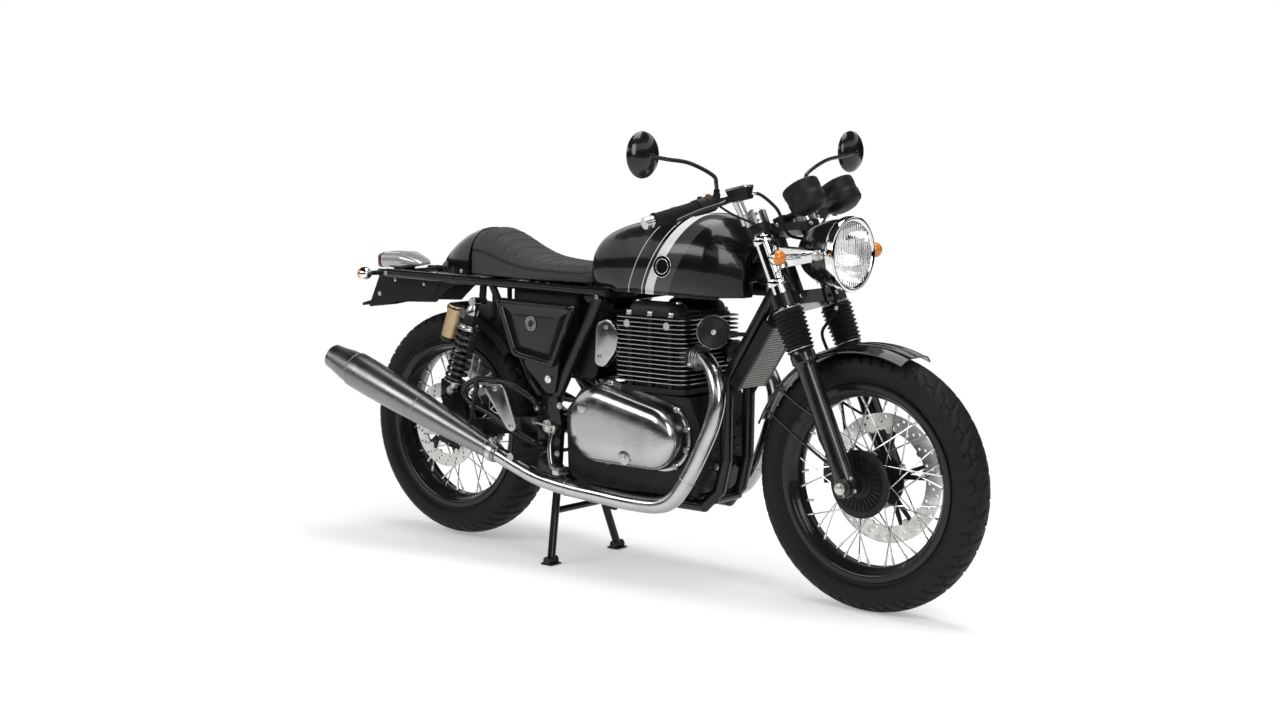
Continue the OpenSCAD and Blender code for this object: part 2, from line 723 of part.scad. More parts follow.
// ---------------------------------------------------------------- exhaust
pipe_start_x = block_x1 + 6 + seat_gap;
pipe_route = [[272, port_y, port_z], [304, 88, 584], [342, 106, 552], [362, 120, 495],
  [352, 130, 430], [324, 138, 360], [288, 146, 288], [248, 150, 236], [200, 153, 214],
  [120, 158, 211], [10, 165, 218], [-100, 170, 226], [-200, 175, 242], [-275, 181, 267]];
pipe_end = [-335, 187, 291];
silencer_dir = unit([-621, 37, 222]);
silencer_l = 664;
module exhaust_pipes() {
  start = [pipe_start_x, port_y, port_z];
  color("silver") both_sides()
    sweep(concat([start], smooth_route(concat(pipe_route, [pipe_end - 14 * silencer_dir]), 2), [pipe_end]), pipe_r, 16);
}
// Megaphone silencer: a long taper, a fat body and a reversed cone at the tail
module silencers() {
  wall = 2.5;
  outline = [[pipe_r + 3, 0], [pipe_r + 4, 34], [silencer_r - 14, 190], [silencer_r - 4, 380],
    [silencer_r, 500], [silencer_r, 560], [silencer_r - 6, 600], [silencer_r - 14, 640], [silencer_r - 15, silencer_l]];
  bore_r = 26;
  start = pipe_end + seat_gap * silencer_dir;
  color("silver") both_sides()
    translate(start) rotate([0, acos(silencer_dir[2]), atan2(silencer_dir[1], silencer_dir[0])])
      difference() {
        rotate_extrude() polygon(concat([[0, 0]], outline, [[0, silencer_l]]));
        translate([0, 0, silencer_l - 60]) cylinder(h = 61, r = bore_r);
        translate([0, 0, silencer_l - 14]) cylinder(h = 15, r = silencer_r - 15 - wall);
      }
}

// ---------------------------------------------------------------- tank and seat
// Cross-section of the tank at x: a rounded body over a tunnel for the backbone
tunnel_half = backbone_r + 8;
function tunnel_top(x) = backbone_at(x) + backbone_r + 6;
function tank_ring(x, half, top, square_p) =
  let (base = x < -12 ? max(tank_bottom, rail_at(x) + rail_r + seat_gap) : tank_bottom, hi = max(tunnel_top(x), base + 1), n = 11, mid = base + (top - base) * 0.32)
  concat(
    [[x, -tunnel_half, hi], [x, -tunnel_half, base], [x, -half * 0.86, base]],
    [for (k = [0 : n]) let (a = -90 + 90 * k / n - 0.01)
      [x, -half * pow(abs(cos(a + 90)), 2 / square_p),
        mid + (top - mid) * pow(abs(sin(a + 90)), 2 / square_p)]],
    [for (k = [n - 1 : -1 : 0]) let (a = -90 + 90 * k / n - 0.01)
      [x, half * pow(abs(cos(a + 90)), 2 / square_p),
        mid + (top - mid) * pow(abs(sin(a + 90)), 2 / square_p)]],
    [[x, half * 0.86, base], [x, tunnel_half, base], [x, tunnel_half, hi]]);
// Stations along the tank: x, half-width and height as shares, and squareness
tank_x0 = -88;
tank_x1 = 398;
tank_stations = [[0, 0.6, 0.5, 2.4], [0.02, 0.66, 0.62, 2.5], [0.06, 0.72, 0.71, 2.5], [0.12, 0.76, 0.775, 2.5],
  [0.2, 0.8, 0.835, 2.5], [0.3, 0.84, 0.885, 2.5], [0.4, 0.91, 0.925, 2.4], [0.5, 0.97, 0.96, 2.4], [0.62, 1, 0.99, 2.4],
  [0.74, 1, 1, 2.4], [0.84, 0.97, 0.95, 2.5], [0.9, 0.84, 0.86, 2.6], [0.95, 0.66, 0.76, 2.6], [1, 0.46, 0.64, 2.4]];
cap_x = 150;
cap_r = 34;
cap_z = lerp(tank_bottom, tank_top, 0.956) + 8;
cap_hinge = cap_x + cap_r + 6;
cap_pin_z = cap_z + 4.8;
module fuel_tank() {
  color("black") {
    skin([for (s = tank_stations)
      tank_ring(lerp(tank_x0, tank_x1, s[0]), s[1] * tank_half_w,
        lerp(tank_bottom, tank_top, s[2]), s[3])]);
    difference() {
      union() {
        translate([cap_x, 0, cap_z - 24]) cylinder(h = 24, r = cap_r + 9);
        for (s = [-1, 1]) translate([cap_hinge - 5, s * 13 - 3, cap_z - 2]) cube([10, 6, 9]);
        translate([cap_hinge, 0, cap_pin_z]) across(5, 10, 16);
        translate([cap_hinge, 0, cap_pin_z]) across(5, -16, -10);
      }
      translate([cap_hinge, 0, cap_pin_z]) across(2 + run_fit, -18, 18);
    }
  }
}
module fuel_cap() {
  color("silver") {
    translate([cap_x, 0, cap_z + seat_gap]) {
      cylinder(h = 7, r = cap_r);
      translate([0, 0, 7]) cylinder(h = 5, r1 = cap_r - 4, r2 = cap_r - 10);
      translate([cap_r - 6, -9.5, 1.5]) cube([8, 19, 5]);
    }
    translate([cap_hinge, 0, cap_pin_z]) {
      across(4.2, -9.5, 9.5);
      across(2, -17, 17);
    }
  }
}

// Cross-section of the seat: flat underneath, crowned on top
function pad_ring(x, half, base, top, square_p) =
  let (n = 10)
  concat(
    [[x, -half, base]],
    [for (k = [0 : n]) let (a = 90 * k / n)
      [x, -half * pow(cos(a), 2 / square_p), lerp(base + 12, top, pow(sin(a), 2 / square_p))]],
    [for (k = [n - 1 : -1 : 0]) let (a = 90 * k / n)
      [x, half * pow(cos(a), 2 / square_p), lerp(base + 12, top, pow(sin(a), 2 / square_p))]],
    [[x, half, base]]);
seat_front = -92;
function seat_base(x) = rail_at(x) + rail_r + 0.4;
seat_rear = -532;
seat_stations = [[0, 0.66, -6], [0.045, 0.74, -2], [0.17, 0.86, 0], [0.34, 0.97, 3], [0.48, 1, 9], [0.59, 1, 20],
  [0.7, 0.99, 40], [0.79, 0.97, 61], [0.87, 0.95, 78], [0.94, 0.93, 86], [1, 0.9, 84]];
module seat() {
  hump_scale = (hump_h - seat_h) / 86;
  color("black") skin([for (s = seat_stations)
    let (x = lerp(seat_front, seat_rear, s[0]))
    pad_ring(x, s[1] * seat_half_w, seat_base(x), seat_h + s[2] * hump_scale, 3)]);
}
cowl_rear = -700;
cowl_stations = [[0, 0.9, 0.98], [0.15, 0.88, 0.93], [0.3, 0.85, 0.85], [0.45, 0.8, 0.73], [0.6, 0.72, 0.58],
  [0.75, 0.6, 0.41], [0.9, 0.42, 0.22], [1, 0.22, 0.1]];
module seat_cowl() {
  color("black") skin([for (s = cowl_stations)
    let (x = lerp(seat_rear - seat_gap, cowl_rear, s[0]))
    pad_ring(x, s[1] * seat_half_w, seat_base(x), lerp(seat_base(x) + 14, hump_h, s[2]), 2.4)]);
}
module side_panels() {
  inner = max(plate_out, rail_half + cradle_r) + seat_gap;
  edge = 8;
  outline = [[-398, 708], [-104, 702], [-166, 528], [-186, 462], [-216, 462], [-302, 534]];
  middle = [-240, 620];
  color("black") both_sides() hull() {
    side_plate(outline, inner, panel_half_w - edge);
    side_plate([for (p = outline) lerp(p, middle, 0.1)], inner, panel_half_w);
  }
}

// ---------------------------------------------------------------- front of the engine
cooler_half = 62;
cooler_l = 190;
cooler_t = 30;
module oil_cooler() {
  lean = 33.1;
  u = [sin(lean), cos(lean)];
  n = [u[1], -u[0]];
  back = down_low + 8 * u + (cradle_r + 0.8 + seat_gap) * n;
  tank_in = 14;
  function quad(grow) = [back - grow * u, back - grow * u + (cooler_t + grow) * n,
    back + (cooler_l + grow) * u + (cooler_t + grow) * n, back + (cooler_l + grow) * u];
  color("dimgray") {
    side_plate(quad(0), -cooler_half + tank_in, cooler_half - tank_in);
    both_sides() side_plate(quad(4), cooler_half - tank_in - 1, cooler_half);
  }
}
module horn() {
  color("black") {
    translate([336, -104, 662]) rotate([0, 90, -50]) {
      cylinder(h = 14, r = 41);
      translate([0, 0, -14]) cylinder(h = 15, r = 26);
      translate([0, 0, -30]) cylinder(h = 17, r = 12);
    }
    difference() {
      at = (655 - down_low[1]) / (down_head[1] - down_low[1]);
      rod([344, -96, 655], [lerp(down_low[0], down_head[0], at), -lerp(down_half, 24, at), 655], 6);
      rod([down_low[0], -down_half, down_low[1]], [down_head[0], -24, down_head[1]], cradle_r + seat_gap);
    }
  }
}

// ---------------------------------------------------------------- tail
flap_top = rail_at(rail_rear_x + 16) - (rail_r - 4) - seat_gap;
module tail_lamp() {
  y = 44;
  color("silver") {
    hull() {
      translate([-813, 0, 786]) across(10, -y + 6, y - 6);
      translate([-875, 0, 786]) across(22, -y, y);
      translate([-953, 0, 780]) across(24, -y, y);
    }
    translate([-978, -36, 758]) cube([26, 72, 42]);
    translate([-925, -20, flap_top + seat_gap]) cube([50, 40, 30]);
  }
}
guard_r = rear_tyre_r + 26;
module rear_mudguard() {
  half = 75;
  t = 3;
  flap_half = 52;
  outline = [[-640, 726], [-640, flap_top], [-948, flap_top], [-996, 650], [-996, 643], [-886, 664],
    [-715, 672], [-665, 712]];
  inside = [[-644, 716], [-644, flap_top - 4], [-945, flap_top - 4], [-990, 648], [-990, 630],
    [-886, 650], [-715, 658], [-669, 700]];
  hanger = [[-982, 669], [-990, 650], [tail_x, 641], [tail_x, 649]];
  color("black") {
    // inner guard that hugs the tyre
    at_rear_axle() rotate([90, 0, 0]) rotate([0, 0, 42]) rotate_extrude(angle = 46, $fn = 96)
      polygon([[guard_r - 30, -half], [guard_r - 30, -half + t], [guard_r - 6, -half + t], [guard_r, -half + 12],
        [guard_r, half - 12], [guard_r - 6, half - t], [guard_r - 30, half - t], [guard_r - 30, half],
        [guard_r - 4, half], [guard_r + t, half - 11], [guard_r + t, -half + 11], [guard_r - 4, -half]]);
    difference() {
      side_plate(outline, -flap_half, flap_half);
      side_plate(inside, -flap_half + 4, flap_half - 4);
    }
    side_plate(hanger, -22, 22);
    for (s = [-1, 1]) rod([-500, s * 30, 635], [-500, s * 30, rail_at(-500) - rail_r + 4 - seat_gap], 7);
  }
}

// Bullet lamp on a stalk, pointing out along +Y from its root
module bullet_lamp(stalk_l) {
  body_l = 44;
  rotate([-90, 0, 0]) {
    cylinder(h = stalk_l + 1, r = 7);
    translate([0, 0, stalk_l]) cylinder(h = 14, r1 = 12, r2 = 20);
    translate([0, 0, stalk_l + 14]) cylinder(h = body_l - 14, r = 20);
  }
}
module rear_indicators() {
  lug_x = rail_rear_x - seat_gap;
  color("black") both_sides() {
    translate([lug_x - 30, rail_half - 9, rail_rear_z - 11]) cube([30, 18, 22]);
    translate([lug_x - 18, rail_half + 8, rail_rear_z]) bullet_lamp(38);
  }
}

// ---------------------------------------------------------------- rider's feet
peg_x = -218;
peg_z = 306;
module footrests() {
  hanger = [[-392, 462], [-380, 476], [-330, 482], [-314, 470], [-272, 372], [-286, 356], [-304, 360]];
  root_y = plate_out + seat_gap;
  loop = [[-246, root_y + 8, 420], [-258, 146, 452], [-330, 168, 486], [-430, 172, 484], [-478, 172, 458],
    [-462, 172, 424], [-380, 171, 396], [-300, 166, 360], [-252, 150, 334], [-236, root_y + 8, 322]];
  peg_root = 132;
  color("silver") both_sides() {
    sweep(smooth_route(loop, 2), 8, 12);
    side_plate(hanger, 176, 183);
    translate([-350, 0, 476]) across(8, 168, 177);
    translate([-292, 0, 366]) across(8, 162, 177);
    translate([-246, 0, 420]) across(13, root_y, root_y + 16);
    translate([-236, 0, 322]) across(13, root_y, root_y + 16);
    rod([-236, root_y + 14, 318], [peg_x, peg_root + 10, peg_z], 9);
    translate([peg_x, 0, peg_z]) {
      across(11, peg_root, 158);
      across(13, 158, 262);
    }
  }
}
module foot_controls() {
  y = 184;
  side = plate_out + seat_gap;
  color("silver") {
    // brake pedal on the right
    translate([-196, 0, 352]) across(11, -side - 12, -side);
    tube_run([[-196, -side - 8, 352], [-170, -160, 318], [-140, -y, 280], [-98, -y - 4, 274]], 6.5);
    translate([-98, 0, 274]) across(11, -y - 34, -y + 10);
    // gear pedal on the left
    translate([-196, 0, 352]) across(11, side, side + 12);
    tube_run([[-196, side + 8, 352], [-170, 160, 318], [-140, y, 280], [-98, y + 6, 276]], 6.5);
    translate([-98, 0, 276]) across(9, y, y + 44);
  }
}
// Sector of a caliper about the wheel's axle: a block with a slot for the disc
module caliper(disc_rad, y, gap, a, sweep_a, depth) {
  side = 11;
  rotate([90, 0, 0]) rotate([0, 0, a]) rotate_extrude(angle = sweep_a, $fn = 96)
    polygon([[disc_rad - depth, -y - disc_t - gap - side], [disc_rad + gap + 9, -y - disc_t - gap - side],
      [disc_rad + gap + 9, -y + gap + side], [disc_rad - depth, -y + gap + side],
      [disc_rad - depth, -y + gap], [disc_rad + gap, -y + gap], [disc_rad + gap, -y - disc_t - gap],
      [disc_rad - depth, -y - disc_t - gap]]);
}
caliper_gap = 5;
module rear_caliper() {
  y = -rear_disc_y - disc_t;
  outer = -rear_disc_y - disc_t - caliper_gap - 11;
  color("black") {
    at_rear_axle() caliper(rear_disc_r, y, caliper_gap, 52, 38, 48);
    side_plate([[rear_axle_x + 12, rear_axle_z + 90], [rear_axle_x + 60, rear_axle_z + 78],
      [rear_axle_x + 80, rear_axle_z - 4], [rear_axle_x + 40, rear_axle_z - 4]], -arm_rear_y + arm_w / 2 + seat_gap, outer + 2);
  }
}

// ---------------------------------------------------------------- fork
module lower_yoke() {
  color("black") on_fork() difference() {
    union() {
      translate([0, 0, yoke_low]) linear_extrude(lower_yoke_t) {
        for (s = [-1, 1]) translate([0, s * fork_half]) circle(stanchion_r + 13);
        translate([-fork_offset, 0]) circle(31);
        polygon([[22, -fork_half], [22, fork_half], [-16, fork_half], [-fork_offset - 26, 20],
          [-fork_offset - 26, -20], [-16, -fork_half]]);
      }
      translate([-fork_offset, 0, yoke_low]) cylinder(h = yoke_top_top - yoke_low + 10, r = stem_r);
      translate([-fork_offset, 0, yoke_low]) cylinder(h = lower_yoke_t + head_gap - seat_gap, r = head_tube_r - 1);
    }
    for (s = [-1, 1]) translate([0, s * fork_half, yoke_low - 1])
      cylinder(h = lower_yoke_t + 2, r = stanchion_r + seat_gap);
  }
}
module top_yoke() {
  color("dimgray") on_fork() difference() {
    union() {
      translate([0, 0, yoke_top]) linear_extrude(top_yoke_t) {
        for (s = [-1, 1]) translate([0, s * fork_half]) circle(stanchion_r + 9.5);
        translate([-fork_offset, 0]) circle(30);
        polygon([[18, -fork_half], [18, fork_half], [-14, fork_half], [-fork_offset - 24, 22],
          [-fork_offset - 24, -22], [-14, -fork_half]]);
      }
    }
    for (s = [-1, 1]) translate([0, s * fork_half, yoke_top - 1])
      cylinder(h = top_yoke_t + 2, r = stanchion_r + seat_gap);
    translate([-fork_offset, 0, yoke_top - 1]) cylinder(h = top_yoke_t + 2, r = stem_r + seat_gap);
  }
}
module fork_tubes() {
  color("silver") both_sides() on_fork() translate([0, fork_half, slider_l - 120])
    cylinder(h = stanchion_top - slider_l + 120, r = stanchion_r);
}
gaiter_r = 41;
gaiter_low_r = 36;
module fork_gaiters() {
  folds = 9;
  wall = 3;
  pitch = (gaiter_l - 10) / folds;
  outer = [for (i = [0 : folds - 1]) each
    [[lerp(gaiter_low_r, gaiter_r, i / folds) - 6, 5 + i * pitch], [lerp(gaiter_low_r, gaiter_r, i / folds), 5 + (i + 0.5) * pitch]]];
  color("black") both_sides() on_fork() translate([0, fork_half, slider_l + seat_gap]) rotate_extrude()
    polygon(concat([[stanchion_r + seat_gap, 0], [gaiter_low_r - 4, 0]], outer,
      [[gaiter_r - 6, gaiter_l - 5], [gaiter_r - 8, gaiter_l], [stanchion_r + seat_gap, gaiter_l]]));
}
axle_clamp_r = 24;
clamp_half = slider_r + 1;
module fork_sliders() {
  color("black") both_sides() on_fork() difference() {
    union() {
      translate([0, fork_half, 0]) cylinder(h = slider_l, r = slider_r);
      translate([0, fork_half, slider_l - 30]) cylinder(h = 30, r = slider_r + 5);
      across(axle_clamp_r, fork_half - clamp_half, fork_half + clamp_half);
    }
    translate([0, fork_half, slider_l - 120 - seat_gap]) cylinder(h = 140, r = stanchion_r + seat_gap);
    across(axle_r + run_fit, 0, 200);
  }
  color("black") on_fork() difference() {
    // the caliper's bracket, from the caliper to past the inner face of the leg
    translate([-124, caliper_outer + seat_gap, 44])
      cube([118, fork_half - slider_r + 12 - caliper_outer, 40]);
    translate([0, fork_half, 0]) cylinder(h = slider_l, r = slider_r - 2);
  }
}
caliper_outer = front_disc_y + disc_t + caliper_gap + 11;
module front_axle() {
  end = fork_half + clamp_half + seat_gap;
  inner = front_hub_half + 1;
  color("silver") at_front_axle() difference() {
    union() {
      across(axle_r, -end - 8, end + 8);
      across(axle_r + 6, -end - 8, -end);
      across(axle_r + 6, end, end + 8);
      both_sides() across(axle_r + 5, inner, fork_half - clamp_half - seat_gap);
    }
    across(5, -end - 9, end + 9);
  }
}
module front_mudguard() {
  half = 62;
  t = 3.5;
  a0 = 68;
  a1 = 158;
  color("black") {
    at_front_axle() rotate([90, 0, 0]) rotate([0, 0, a0]) rotate_extrude(angle = a1 - a0, $fn = 96)
      polygon([[front_guard_r - 26, -half], [front_guard_r - 26, -half + t], [front_guard_r - 8, -half + t],
        [front_guard_r - 2, -half + 16], [front_guard_r, 0], [front_guard_r - 2, half - 16],
        [front_guard_r - 8, half - t], [front_guard_r - 26, half - t], [front_guard_r - 26, half],
        [front_guard_r - 6, half], [front_guard_r + t - 2, half - 15], [front_guard_r + t, 0],
        [front_guard_r + t - 2, -half + 15], [front_guard_r - 6, -half]]);
    both_sides() on_fork() translate([-16, half - 2, 280]) cube([32, fork_half - slider_r - half + 2 - seat_gap, 32]);
  }
}
caliper_a = 156;
module front_caliper() {
  color("black") at_front_axle() caliper(front_disc_r, front_disc_y, caliper_gap, caliper_a, 34, 56);
}

// ---------------------------------------------------------------- lamp and clocks
lamp_z = 864;
lamp_face = 684;
lamp_pivot = 640;
module headlamp() {
  ear_t = 7;
  ear_y = 90;
  back = 120;
  color("silver") {
    translate([lamp_face, 0, lamp_z]) rotate([0, -90, 0]) {
      difference() {
        rotate_extrude() polygon([[0, 6], [lamp_r - 6, 0], [lamp_r, 3], [lamp_r, 22], [lamp_r - 7, 30],
          [lamp_r - 9, 60], [lamp_r - 20, 96], [lamp_r - 46, back + 14], [lamp_r - 66, back + 22], [0, back + 24]]);
      }
    }
    both_sides() {
      translate([lamp_pivot, 0, lamp_z]) across(11, lamp_r - 12, ear_y + ear_t);
      difference() {
        union() {
          on_fork() translate([0, fork_half, yoke_low_top + 22]) cylinder(h = yoke_gap - 44, r = stanchion_r + 6);
          side_plate([[520, lamp_z - 40], [500, lamp_z + 18], [lamp_pivot, lamp_z + 14], [lamp_pivot, lamp_z - 14]], ear_y, ear_y + ear_t);
        }
        on_fork() translate([0, fork_half, yoke_low]) cylinder(h = 300, r = stanchion_r + seat_gap);
      }
    }
  }
}
clock_y = 73;
clock_r = 47;
module instruments() {
  tilt = 34;
  color("black") {
    both_sides() translate([588, clock_y, 1004]) rotate([0, -tilt, 0]) {
      translate([0, 0, -32]) cylinder(h = 60, r = clock_r);
      translate([0, 0, -42]) cylinder(h = 11, r1 = 30, r2 = clock_r - 1);
    }
    translate([588, 0, 1004]) rotate([0, -tilt, 0]) translate([-16, -clock_y, -26]) cube([32, 2 * clock_y, 8]);
    on_fork() translate([-10, -22, yoke_top_top + seat_gap]) cube([30, 44, 20]);
    rod([fork_x(8, yoke_top_top + 12), 0, fork_z(8, yoke_top_top + 12)], [584, 0, 985], 9);
  }
}

// ---------------------------------------------------------------- handlebars
bar_end = [337, bar_half, 940];
bar_root = [418, 125, 1000];
bar_l = norm(bar_root - bar_end);
// Frame of the left handlebar: the origin at its outer end, Z towards its root
module on_bar() {
  d = bar_root - bar_end;
  translate(bar_end) rotate([0, acos(d[2] / norm(d)), atan2(d[1], d[0])]) children();
}
grip_low = 28;
grip_l = 122;
module handlebars() {
  color("silver") both_sides() difference() {
    union() {
      on_bar() {
        cylinder(h = bar_l, r = bar_r);
        cylinder(h = grip_low - seat_gap, r = grip_r - 2);
      }
      translate(bar_root) sphere(r = bar_r + 2, $fn = 32);
      rod([fork_x(-26, clip_low + 16), fork_half + 4, fork_z(-26, clip_low + 16)], bar_root, bar_r + 1);
      on_fork() translate([0, fork_half, clip_low]) cylinder(h = stanchion_top - clip_low, r = stanchion_r + 9);
    }
    on_fork() translate([0, fork_half, clip_low - 40]) cylinder(h = stanchion_top - clip_low + 50, r = stanchion_r + seat_gap);
  }
}
module grips() {
  color("black") both_sides() on_bar() difference() {
    translate([0, 0, grip_low]) cylinder(h = grip_l, r = grip_r);
    cylinder(h = bar_l, r = bar_r + seat_gap);
  }
}
perch = [410, 160, 992];
module bar_controls() {
  color("black") {
    both_sides() {
      difference() {
        union() {
          on_bar() translate([0, 0, grip_low + grip_l + 2]) cylinder(h = 54, r = grip_r + 3);
          rod([398, 186, 984], [432, 176, 992], 9);
          translate([perch[0] - 4, perch[1] + 22, perch[2] - 8]) cylinder(h = 24, r = 9);
        }
        on_bar() cylinder(h = bar_l, r = bar_r + seat_gap);
      }
      tube_run([[432, 176, 992], [440, 200, 986], [416, 262, 968], [396, 330, 944]], 6);
    }
    translate([462, -162, 1008]) rotate([0, -12, 0]) cube([66, 38, 34], center = true);
    rod([430, -176, 992], [452, -166, 1000], 9);
  }
}
mirror_x = 382;
module mirrors() {
  base = [perch[0] - 4, perch[1] + 22, perch[2] + 16 + seat_gap];
  stem = [base, base + [0, 2, 22], [404, 204, 1056], [402, 280, 1082], [400, 360, 1092], [mirror_x + 16, mirror_half - 10, mirror_h - 4]];
  color("black") both_sides() {
    tube_run(stem, 5);
    translate(base) cylinder(h = 10, r = 8);
    translate([mirror_x, mirror_half, mirror_h]) rotate([0, 90, 0])
      rotate_extrude() polygon([[0, -8], [mirror_r - 3, -8], [mirror_r, -5], [mirror_r - 1, 3], [mirror_r - 14, 12],
        [20, 18], [0, 20]]);
  }
}
module front_indicators() {
  root = [603, 97 + seat_gap, 862];
  color("silver") both_sides() translate(root) bullet_lamp(84);
}
hose_route = [[520, -150, 1004], [546, -124, 970], [548, -104, 932], [534, -56, 906], [530, 0, 896],
  [534, 46, 886], [546, 62, 846], [560, 60, 806], [580, 58, 770], [594, 56, 740], [592, 50, 712], [574, 47, 688],
  [554, 54, 658], [562, 74, 606], [584, 82, 540], [600, 82, 460], [614, 76, 400]];
module brake_hose() {
  start = [499, -162, 1012];
  at = [front_axle_x, 68, front_axle_z];
  end = at + 146 * [cos(caliper_a), 0, sin(caliper_a)];
  lift = [sin(caliper_a), 0, -cos(caliper_a)];
  color("black") sweep(concat([start], smooth_route(hose_route, 2), [end + 10 * lift, end + 0.5 * lift]), 4, 8);
}

// ---------------------------------------------------------------- stands
stand_foot_x = 30;
module centre_stand() {
  foot_r = 12;
  leg_top = [stand_x, plate_in - 26, stand_pivot_z];
  leg_low = [stand_x + stand_foot_x, stand_half, foot_r];
  brace = lerp(leg_top, leg_low, 0.42);
  color("black") {
    translate([stand_x, 0, stand_pivot_z]) {
      across(14, -plate_in + 1, plate_in - 1);
      across(stand_pin_r, -plate_out - 6, plate_out + 6);
    }
    both_sides() {
      rod(leg_top, leg_low, 11);
      translate([leg_low[0], 0, foot_r]) across(foot_r, stand_half - 18, stand_half + 18);
    }
    rod([brace[0], -brace[1], brace[2]], brace, 9);
  }
}
module side_stand() {
  droop = 8;
  color("black") at_side_stand() {
    translate([0, 0, -10]) cylinder(h = 20, r = 15);
    translate([0, 0, -23]) cylinder(h = 23, r = 7);
    rotate([0, 0, 180 - droop]) {
      rod([0, 0, 0], [side_stand_l, 0, 0], 9);
      translate([side_stand_l, 0, -10]) cylinder(h = 20, r = 14);
    }
  }
}

// ---------------------------------------------------------------- assembly
frame_spine();
frame_cradle();
seat_rails();
swingarm();
crankcase();
cylinder_block();
cylinder_head();
clutch_cover();
alternator_cover();
intake();
exhaust_pipes();
silencers();
fuel_tank();
fuel_cap();
seat();
seat_cowl();
side_panels();
oil_cooler();
horn();
tail_lamp();
rear_mudguard();
rear_indicators();
shock_absorbers();
shock_springs();
drive_chain();
chain_guard();
footrests();
foot_controls();
rear_caliper();
rear_axle();
lower_yoke();
top_yoke();
fork_tubes();
fork_gaiters();
fork_sliders();
front_axle();
front_mudguard();
front_caliper();
headlamp();
instruments();
handlebars();
grips();
bar_controls();
mirrors();
front_indicators();
brake_hose();
front_tyre();
front_wheel();
front_disc();
rear_tyre();
rear_wheel();
rear_disc();
rear_sprocket();
centre_stand();
side_stand();
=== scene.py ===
"""Cafe racer motorcycle: the looks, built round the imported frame, in the order it is put together."""
import math
import bpy
import bmesh
from mathutils import Matrix, Vector


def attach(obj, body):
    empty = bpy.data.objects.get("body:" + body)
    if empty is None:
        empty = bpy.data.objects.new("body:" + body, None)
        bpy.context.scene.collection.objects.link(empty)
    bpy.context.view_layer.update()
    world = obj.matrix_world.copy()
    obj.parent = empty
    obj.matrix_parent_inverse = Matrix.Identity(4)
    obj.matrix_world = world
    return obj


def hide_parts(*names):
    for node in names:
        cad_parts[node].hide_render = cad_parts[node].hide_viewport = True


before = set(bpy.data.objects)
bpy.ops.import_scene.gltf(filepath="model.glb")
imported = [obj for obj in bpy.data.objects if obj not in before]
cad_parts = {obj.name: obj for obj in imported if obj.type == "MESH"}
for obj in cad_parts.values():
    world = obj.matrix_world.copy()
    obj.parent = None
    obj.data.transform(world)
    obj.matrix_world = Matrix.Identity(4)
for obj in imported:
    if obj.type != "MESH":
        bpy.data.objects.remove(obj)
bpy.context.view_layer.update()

# ---------------------------------------------------------------- tyres
# Two tubeless-pattern road tyres: black rubber, a round crown with moulded grooves that run
# in from both shoulders, a plain sidewall with moulded rings, and beads clamped in the rims.
FRONT_AXLE = (742.4, 0.0, 318.6)
REAR_AXLE = (-655.6, 0.0, 327.6)
RIM_R = 228.6
SIDES = (-1, 1)


def polar(r, a, y=0.0):
    """Point at radius r and angle a in a wheel's plane, and y along its axle."""
    return Vector((r * math.cos(a), y, r * math.sin(a)))


def skinned(rings, ends=True):
    """Solid through rings of points that all have the same count."""
    n = len(rings[0])
    last = (len(rings) - 1) * n
    faces = [(i + j, i + (j + 1) % n, i + n + (j + 1) % n,
              i + n + j) for i in range(0, last, n) for j in range(n)]
    if ends:
        faces += [tuple(reversed(range(n))), tuple(range(last, last + n))]
    return [tuple(v) for ring in rings for v in ring], faces


def lathe(profile, steps=96, start=0.0, turn=360.0):
    """Surface turned about the wheel's axle (Y): the profile is (radius, distance along Y)."""
    angles = [math.radians(start + turn * i / steps) for i in range(steps + 1)]
    return skinned([[polar(r, a, y) for r, y in profile] for a in angles], ends=turn < 360)


def placed(part, matrix):
    return [tuple(matrix @ Vector(v)) for v in part[0]], part[1]


def shifted(part, x, y, z):
    return placed(part, Matrix.Translation((x, y, z)))


def mirrored(part):
    return [(x, -y, z) for x, y, z in part[0]], [tuple(reversed(f)) for f in part[1]]


def both_sides(parts):
    return list(parts) + [mirrored(p) for p in parts]


def make_piece(name, parts, material, body="chassis", stands_for=(), bevel=0.0,
               crease=35.0):
    """One object from parts in millimetres; it rides on its body and takes its finish from its slot."""
    verts = []
    faces = []
    for part_verts, part_faces in parts:
        at = len(verts)
        verts.extend((x * 0.001, y * 0.001, z * 0.001) for x, y, z in part_verts)
        faces.extend(tuple(at + i for i in f) for f in part_faces)
    mesh = bpy.data.meshes.new(name)
    mesh.from_pydata(verts, [], faces)
    work = bmesh.new()
    work.from_mesh(mesh)
    bmesh.ops.remove_doubles(work, verts=work.verts, dist=0.00001)
    bmesh.ops.recalc_face_normals(work, faces=work.faces)
    work.to_mesh(mesh)
    work.free()
    mesh.polygons.foreach_set("use_smooth", [True] * len(mesh.polygons))
    mesh.set_sharp_from_angle(angle=math.radians(crease))
    piece = bpy.data.objects.new(name, mesh)
    bpy.context.scene.collection.objects.link(piece)
    if bevel > 0:
        edge = piece.modifiers.new("broken edge", "BEVEL")
        edge.width = bevel * 0.001
        edge.segments = 2
        edge.limit_method = "ANGLE"
        edge.angle_limit = math.radians(crease)
        edge.harden_normals = True
    mesh.materials.append(material)
    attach(piece, body)
    if stands_for:
        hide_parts(*stands_for)
    return piece


def put(tree, kind, inputs=None, **settings):
    """New shader node: its inputs are set or linked by name, and its settings are its own properties."""
    node = tree.nodes.new("ShaderNode" + kind)
    for name, value in settings.items():
        setattr(node, name, value)
    for name, value in (inputs or {}).items():
        if isinstance(value, bpy.types.NodeSocket):
            tree.links.new(value, node.inputs[name])
        else:
            node.inputs[name].default_value = value
    return node


